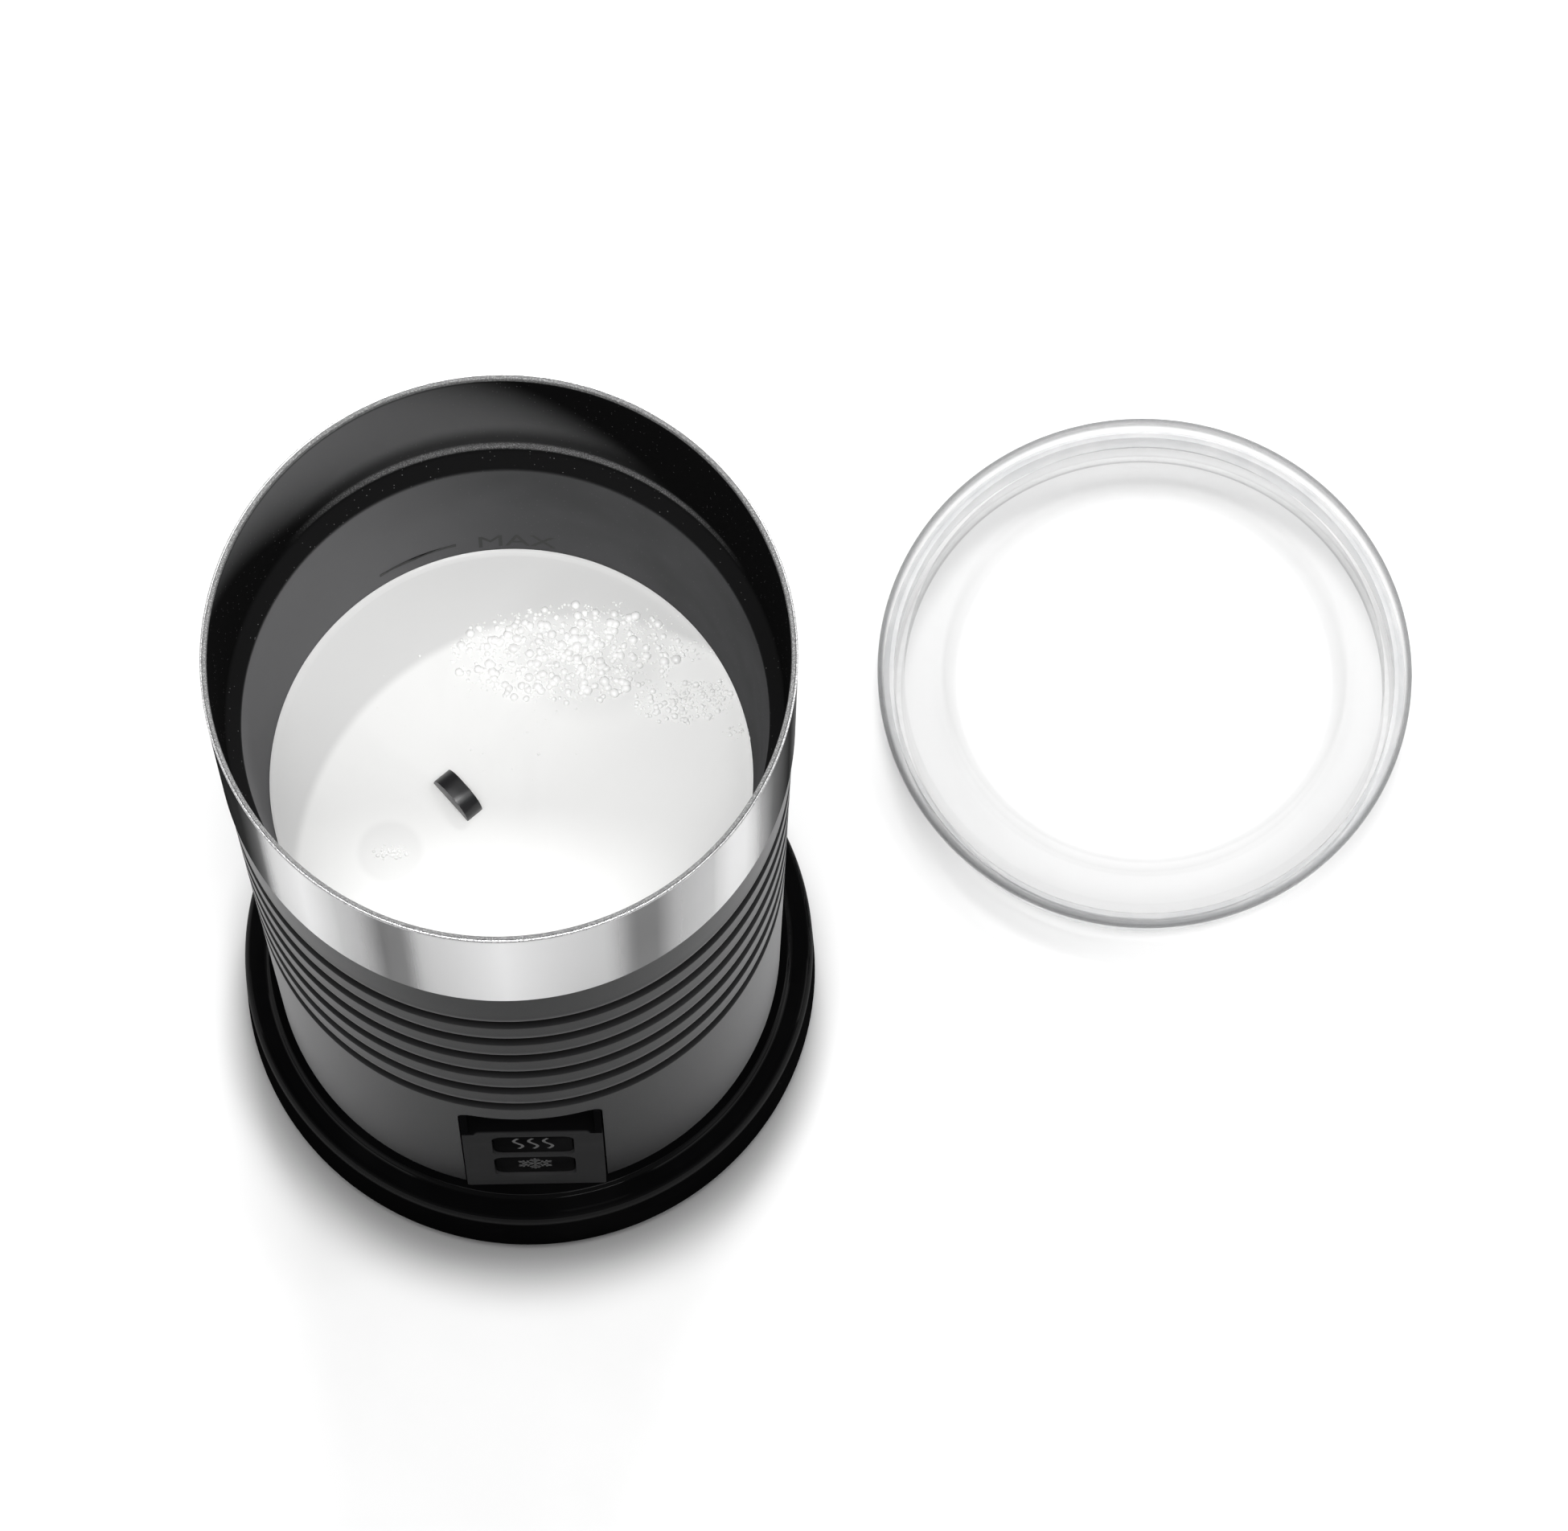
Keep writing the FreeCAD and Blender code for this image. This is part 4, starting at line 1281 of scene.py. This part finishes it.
class FROTHER_OT_panel(bpy.types.Operator):
    """Build the front panel with its thumb scoop, and the two push buttons with their symbols"""

    bl_idname = "frother.panel"
    bl_label = "Panel and buttons"

    def execute(self, context):
        panel = make_panel()
        use(panel, panel_finish())
        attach(panel, "jug")
        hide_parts("button_panel")
        gloss = moulded_finish("button_black", (0.003, 0.003, 0.0031), 0.3, 0.12, 0.0)
        ink = print_finish("symbol_ink", 0.028)
        for node, icon in (("hot_button", make_steam_icon(ink)), ("cold_button", make_snow_icon(ink))):
            button = make_button(node, gloss, ink, icon)
            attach(button, node)
            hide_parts(node)
        return {"FINISHED"}


# ---------------------------------------------------------------- whisk


def make_whisk_stem():
    """Whisk's stem on its hollow foot, with the finger tab at its top."""
    foot = WHISK_FOOT / MM
    tip = WHISK_TOP / MM
    outline = [(1.56, foot), (3.2, foot), (3.2, foot + 5.4), (9.6, foot + 5.4), (9.6, foot), (11.0, foot, 0.5)]
    outline += [(11.0, foot + 7.0, 1.2), (4.2, foot + 7.8, 1.5), (2.6, foot + 15.0, 3.0), (2.1, tip - 7.0)]
    outline += [(0, tip - 7.0), (0, foot + 5.8), (1.56, foot + 5.8)]
    stem = lathe("stem", rounded(outline), WHISK_AXIS, around=96)
    outline = [(-2.0, tip - 8.5), (2.0, tip - 8.5), (4.4, tip - 5.2, 1.4), (4.4, tip, 3.7), (-4.4, tip, 3.7)]
    outline += [(-4.4, tip - 5.2, 1.4)]
    tab = prism("tab", rounded(outline, math.radians(8)), -1.6 * MM, 1.6 * MM)
    soften(tab, 0.4, 60.0, 3)
    placed(tab, WHISK_AXIS, Matrix.Rotation(WHISK_TURN, 4, "Z"))
    return join("whisk_handle", [stem, tab], SHARP)


def coil_recipe():
    """One wire wound round a ring that lies level."""
    radii = {"Ring_radius": "Float", "Coil_radius": "Float", "Wire_radius": "Float"}
    recipe = Recipe("Whisk coil", Turns="Int", **radii, Centre="Vector")
    turns, ring, coil, wire, centre = recipe.given("Turns", "Ring radius", "Coil radius", "Wire radius", "Centre")
    circle = "GeometryNodeCurvePrimitiveCircle"
    steps_each = 14.0
    path = recipe.add(circle, {"Resolution": turns * steps_each, "Radius": 1.0}, mode="RADIUS")
    share = recipe.add("GeometryNodeSplineParameter")
    wind = share * turns * math.tau
    about = share * math.tau
    radius = ring + coil * wind.cos()
    place = recipe.join(radius * about.cos(), radius * about.sin(), coil * wind.sin())
    section = recipe.add(circle, {"Resolution": 6, "Radius": wire}, mode="RADIUS")
    values = {"Curve": recipe.put(path, place + centre), "Profile Curve": section}
    return recipe.end(recipe.add("GeometryNodeCurveToMesh", values))


class FROTHER_OT_whisk(bpy.types.Operator):
    """Turn the whisk's stem with its finger tab, and wind its coil"""

    bl_idname = "frother.whisk"
    bl_label = "Whisk"

    def execute(self, context):
        stem = make_whisk_stem()
        use(stem, moulded_finish("whisk_black", (0.016, 0.016, 0.017), 0.32, 0.25, 0.45))
        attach(stem, "whisk")
        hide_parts("whisk_stem")

        size = high("whisk_coil") - low("whisk_coil")
        coil = coil_recipe().make(
            empty_piece("whisk_wire"),
            60.0,
            Turns=sizes().coil_turns,
            Ring_radius=(size.x - size.z) / 2,
            Coil_radius=size.z / 2 - sizes().coil_wire,
            Wire_radius=sizes().coil_wire,
            Centre=middle("whisk_coil"),
            Finish=metal_finish("spring_steel", (0.66, 0.66, 0.67), 0.2),
        )
        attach(coil, "whisk")
        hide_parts("whisk_coil")
        return {"FINISHED"}


# ---------------------------------------------------------------- lid


def make_lid_cover():
    """Dished cover with a rolled rim and a short skirt."""
    radius = LID_RADIUS / MM
    top = LID_TOP / MM
    dish = top - 5.6
    outline = [(0, dish), (34.3, dish, 1.2), (36.6, top - 0.5, 1.0), (radius - 2.0, top, 1.4)]
    outline += [(radius, top - 1.4, 0.7), (radius, top - 3.4, 0.7), (45.2, top - 3.0, 0.3), (45.2, 0, 0.5)]
    outline += [(43.4, 0, 0.5), (43.4, top - 2.7, 0.8), (38.5, top - 2.9, 0.6), (35.7, dish - 2.2, 2.0)]
    outline += [(0, dish - 2.2)]
    return lathe("lid_shell", rounded(outline), LID_AXIS, around=256)


def make_lid_seal():
    """Soft ring with two ribs."""
    foot = low("lid_seal").z / MM
    outer = (high("lid_seal").x - low("lid_seal").x) / 2 / MM
    outline = [(45.25, foot), (46.25, foot, 0.3)]
    for rib in (foot + 0.9, foot + 3.3):
        outline += [(outer, rib + 0.5, 0.4), (46.05, rib + 1.3, 0.3)]
    outline += [(46.05, foot + 5.6), (45.25, foot + 5.6)]
    return lathe("lid_ring", rounded(outline), LID_AXIS, around=192)


class FROTHER_OT_lid(bpy.types.Operator):
    """Turn the clear dished lid and its soft seal"""

    bl_idname = "frother.lid"
    bl_label = "Lid"

    def execute(self, context):
        cover = make_lid_cover()
        use(cover, lid_finish())
        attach(cover, "lid")
        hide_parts("lid_cover")

        seal = make_lid_seal()
        use(seal, seal_finish())
        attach(seal, "lid")
        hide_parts("lid_seal")
        return {"FINISHED"}


# ---------------------------------------------------------------- inner parts


class FROTHER_OT_inner_parts(bpy.types.Operator):
    """Give the parts inside the base and the jug their finishes"""

    bl_idname = "frother.inner_parts"
    bl_label = "Inner parts"

    def execute(self, context):
        black = moulded_finish("frame_black", (0.02, 0.02, 0.021), 0.5, 0.5)
        post = moulded_finish("post_black", (0.01, 0.01, 0.0105), 0.25, 0.2)
        brass = metal_finish("contact_brass", (0.83, 0.62, 0.3), 0.24)
        zinc = metal_finish("zinc_steel", (0.6, 0.61, 0.64), 0.3)
        bright = metal_finish("ground_steel", (0.72, 0.72, 0.73), 0.14, 1.0)
        nickel = metal_finish("nickel", (0.66, 0.63, 0.58), 0.16)
        board = board_finish()
        finish_of = {
            "bottom_plate": black,
            "connector_post": post,
            "base_contacts": brass,
            "terminal_block": moulded_finish("terminal_white", (0.62, 0.6, 0.54), 0.4, 0.3),
            "whisk_pin": bright,
            "pot_gasket": rubber_finish("gasket_grey", (0.22, 0.22, 0.225), 0.6),
            "bottom_cap": black,
            "connector_socket": black,
            "socket_contacts": brass,
            "inner_frame": moulded_finish("frame_grey", (0.055, 0.056, 0.058), 0.5, 0.45),
            "heat_plate": metal_finish("aluminium", (0.8, 0.81, 0.82), 0.34, 0.3),
            "heating_element": element_finish(),
            "thermostat": moulded_finish("thermostat_brown", (0.05, 0.026, 0.016), 0.35, 0.3),
            "tact_switches": moulded_finish("switch_black", (0.013, 0.013, 0.014), 0.4, 0.3),
            "control_board": board,
            "power_board": board,
            "motor_housing": metal_finish("motor_can", (0.55, 0.56, 0.58), 0.26, 0.6),
            "motor_screws": zinc,
            "shaft_bush": metal_finish("bush_bronze", (0.58, 0.38, 0.2), 0.35),
            "motor_shaft": bright,
            "magnet_carrier": moulded_finish("carrier_black", (0.018, 0.018, 0.019), 0.45, 0.4),
            "drive_magnets": nickel,
            "whisk_magnet": nickel,
            "whisk_foot_cap": black,
        }
        for node, material in finish_of.items():
            use(frame["nodes"][node], material)
        return {"FINISHED"}


# ---------------------------------------------------------------- stage


def make_milk():
    """Milk up to the level mark, with a raised edge against the wall."""
    edge = pot_radius(MILK_LEVEL) / MM - 0.06
    top = MILK_LEVEL / MM
    outline = [(0, top - 6.0), (edge - 0.2, top - 6.0), (edge, top + 0.3), (edge - 0.4, top + 0.06, 0.2)]
    outline += [(edge - 1.2, top, 0.5), (edge - 12, top), (0, top)]
    milk = lathe("milk", rounded(outline), around=192)
    use(milk, milk_finish())
    return milk


def bubble_recipe():
    """Bubbles of mixed sizes, scattered by chance and crowded towards the middle of an oval patch."""
    sizes_given = {"Reach": "Float", "Level": "Float", "Smallest": "Float", "Largest": "Float"}
    recipe = Recipe("Foam bubbles", Rough_count="Float", Patch="Vector", **sizes_given, Seed="Int")
    reach, height, smallest, largest, seed = recipe.given("Reach", "Level", "Smallest", "Largest", "Seed")
    sheet = recipe.add("GeometryNodeMeshCircle", {"Vertices": 64, "Radius": 1.0}, fill_type="NGON")
    values = {"Mesh": sheet, "Density": recipe.given("Rough count") / math.pi, "Seed": seed}
    scattered = recipe.add("GeometryNodeDistributePointsOnFaces", values, distribute_method="RANDOM")
    x, y, z = recipe.position()
    pulled = (x * x + y * y).root() ** 0.6
    wide, deep = 1.25, 0.55
    flat = recipe.join(x * pulled * reach * wide, y * pulled * reach * deep, height)
    bubble = recipe.add("GeometryNodeMeshIcoSphere", {"Radius": 1.0, "Subdivisions": 2})
    chance = recipe.add("FunctionNodeRandomValue", {2: 0.0, 3: 1.0, "Seed": seed + 7.0}, data_type="FLOAT").out(1)
    size = smallest + (largest - smallest) * chance ** 5.0
    spots = recipe.put(scattered, flat + recipe.given("Patch"))
    return recipe.end(recipe.copies(spots, bubble, Scale=recipe.join(size, size, size * 0.7)))


# Name, share of the bubbles, middle, reach, smallest and largest radius in millimetres, seed
FOAM = (
    ("foam_patch", 1, (9.5, 22.0), 16.0, 0.16, 0.9, 3),
    ("foam_right", 3, (29.0, 13.0), 7.0, 0.12, 0.6, 5),
    ("foam_back", 7, (17.0, 25.0), 11.0, 0.1, 0.35, 29),
    ("foam_cluster", 12, (-20.5, -12.6), 2.6, 0.1, 0.4, 11),
    ("foam_wall", 16, (35.0, 15.5), 3.2, 0.12, 0.5, 41),
    ("foam_edge", 18, (31.0, 22.0), 3.2, 0.1, 0.4, 43),
    ("foam_tail", 30, (38.2, 7.5), 2.6, 0.1, 0.4, 47),
    ("foam_strays", 20, (4.0, 12.0), 24.0, 0.08, 0.25, 23),
)


def make_foam():
    """Patches of bubbles on the milk, each with one part in so many of the rough count."""
    finish = foam_finish()
    recipe = bubble_recipe()
    return [
        recipe.make(
            empty_piece(name),
            180.0,
            Rough_count=float(sizes().bubbles // part),
            Patch=Vector((x * MM, y * MM, 0.0)),
            Reach=reach * MM,
            Level=MILK_LEVEL,
            Smallest=smallest * MM,
            Largest=largest * MM,
            Seed=seed,
            Finish=finish,
        )
        for name, part, (x, y), reach, smallest, largest, seed in FOAM
    ]


def set_world(scene):
    """Soft studio surround: bright low down and at the sides, dark overhead."""
    world = bpy.data.worlds.new("studio")
    scene.world = world
    world.use_nodes = True
    tree = Tree(world.node_tree)
    tree.data.nodes.clear()
    x, y, z = tree.split(tree.add("ShaderNodeTexCoord").out("Generated"))
    lower = (z.math("ARCSINE", z) * (180.0 / math.pi)).smooth(68.0, 54.0)
    strength = lower * (0.2 + x * x * 0.45) + 0.02
    background = tree.add("ShaderNodeBackground", {"Color": (1.0, 1.0, 1.0), "Strength": strength})
    tree.add("ShaderNodeOutputWorld", {"Surface": background})


# Name, place, width, height and watts of each lamp
LAMPS = (
    ("back_key", (0.1, 0.95, 1.15), 0.6, 0.25, 17.0),
    ("left_top", (-0.7, -0.1, 1.5), 0.9, 0.9, 6.0),
    ("right_top", (0.7, -0.1, 1.5), 0.9, 0.9, 6.0),
    ("mouth_top", (0.0, -0.25, 1.75), 0.6, 0.6, 16.0),
    ("front_top", (0.3, -0.95, 1.35), 0.35, 0.35, 5.0),
    ("left_box", (-1.1, 0.1, 0.5), 0.3, 0.9, 1.6),
    ("right_box", (1.1, 0.1, 0.5), 0.3, 0.9, 3.0),
)
LIT_POINT = Vector((0.02, 0.0, 0.08))


def set_lights():
    """Rectangular lamps that point at the jug."""
    for name, place, width, height, power in LAMPS:
        light = bpy.data.lights.new(name, "AREA")
        light.shape = "RECTANGLE"
        light.size = width
        light.size_y = height
        light.energy = power
        lamp = new_object(name, light)
        lamp.location = place
        lamp.rotation_euler = (LIT_POINT - Vector(place)).to_track_quat("-Z", "Y").to_euler()
        lamp.visible_camera = False


def set_camera(scene):
    lens = bpy.data.cameras.new("camera")
    lens.lens = 223.83
    lens.sensor_width = 36.0
    camera = new_object("camera", lens)
    camera.location = (0.04407, -0.49344, 1.68298)
    camera.rotation_euler = [math.radians(angle) for angle in (17.542, 0.23, -0.942)]
    scene.camera = camera


class FROTHER_OT_stage(bpy.types.Operator):
    """Set out the floor, the milk that fills the jug, the studio lights and the camera"""

    bl_idname = "frother.stage"
    bl_label = "Stage"

    def execute(self, context):
        scene = context.scene
        scene.view_settings.view_transform = "Standard"
        half = 3.0
        corners = [(-half, -half, 0), (half, -half, 0), (half, half, 0), (-half, half, 0)]
        floor = new_object("floor", new_mesh("floor", corners, [(0, 1, 2, 3)]))
        use(floor, floor_finish())
        contents = [make_milk(), *make_foam()]
        for piece in contents:
            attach(piece, "jug")
        set_world(scene)
        set_lights()
        set_camera(scene)
        return {"FINISHED"}


# ---------------------------------------------------------------- sidebar and running order


class FROTHER_PT_sidebar(bpy.types.Panel):
    """Sizes, finishes and building steps of the milk frother"""

    bl_idname = "FROTHER_PT_sidebar"
    bl_label = "Milk frother"
    bl_space_type = "VIEW_3D"
    bl_region_type = "UI"
    bl_category = "Frother"

    def draw(self, context):
        for group in (context.scene.frother_sizes, context.scene.frother_finishes):
            column = self.layout.column(align=True)
            for name in group.__annotations__:
                column.prop(group, name)
        column = self.layout.column(align=True)
        for step in STEPS:
            column.operator(step.bl_idname)


STEPS = (
    FROTHER_OT_base,
    FROTHER_OT_jug,
    FROTHER_OT_panel,
    FROTHER_OT_whisk,
    FROTHER_OT_lid,
    FROTHER_OT_inner_parts,
    FROTHER_OT_stage,
)

CLASSES = (FrotherSizes, FrotherFinishes, *STEPS, FROTHER_PT_sidebar)


def register():
    for item in CLASSES:
        bpy.utils.register_class(item)
    bpy.types.Scene.frother_sizes = bpy.props.PointerProperty(type=FrotherSizes)
    bpy.types.Scene.frother_finishes = bpy.props.PointerProperty(type=FrotherFinishes)


def unregister():
    del bpy.types.Scene.frother_finishes
    del bpy.types.Scene.frother_sizes
    for item in reversed(CLASSES):
        bpy.utils.unregister_class(item)


def main():
    register()
    bpy.ops.frother.base()
    bpy.ops.frother.jug()
    bpy.ops.frother.panel()
    bpy.ops.frother.whisk()
    bpy.ops.frother.lid()
    bpy.ops.frother.inner_parts()
    bpy.ops.frother.stage()


if __name__ == "__main__":
    main()
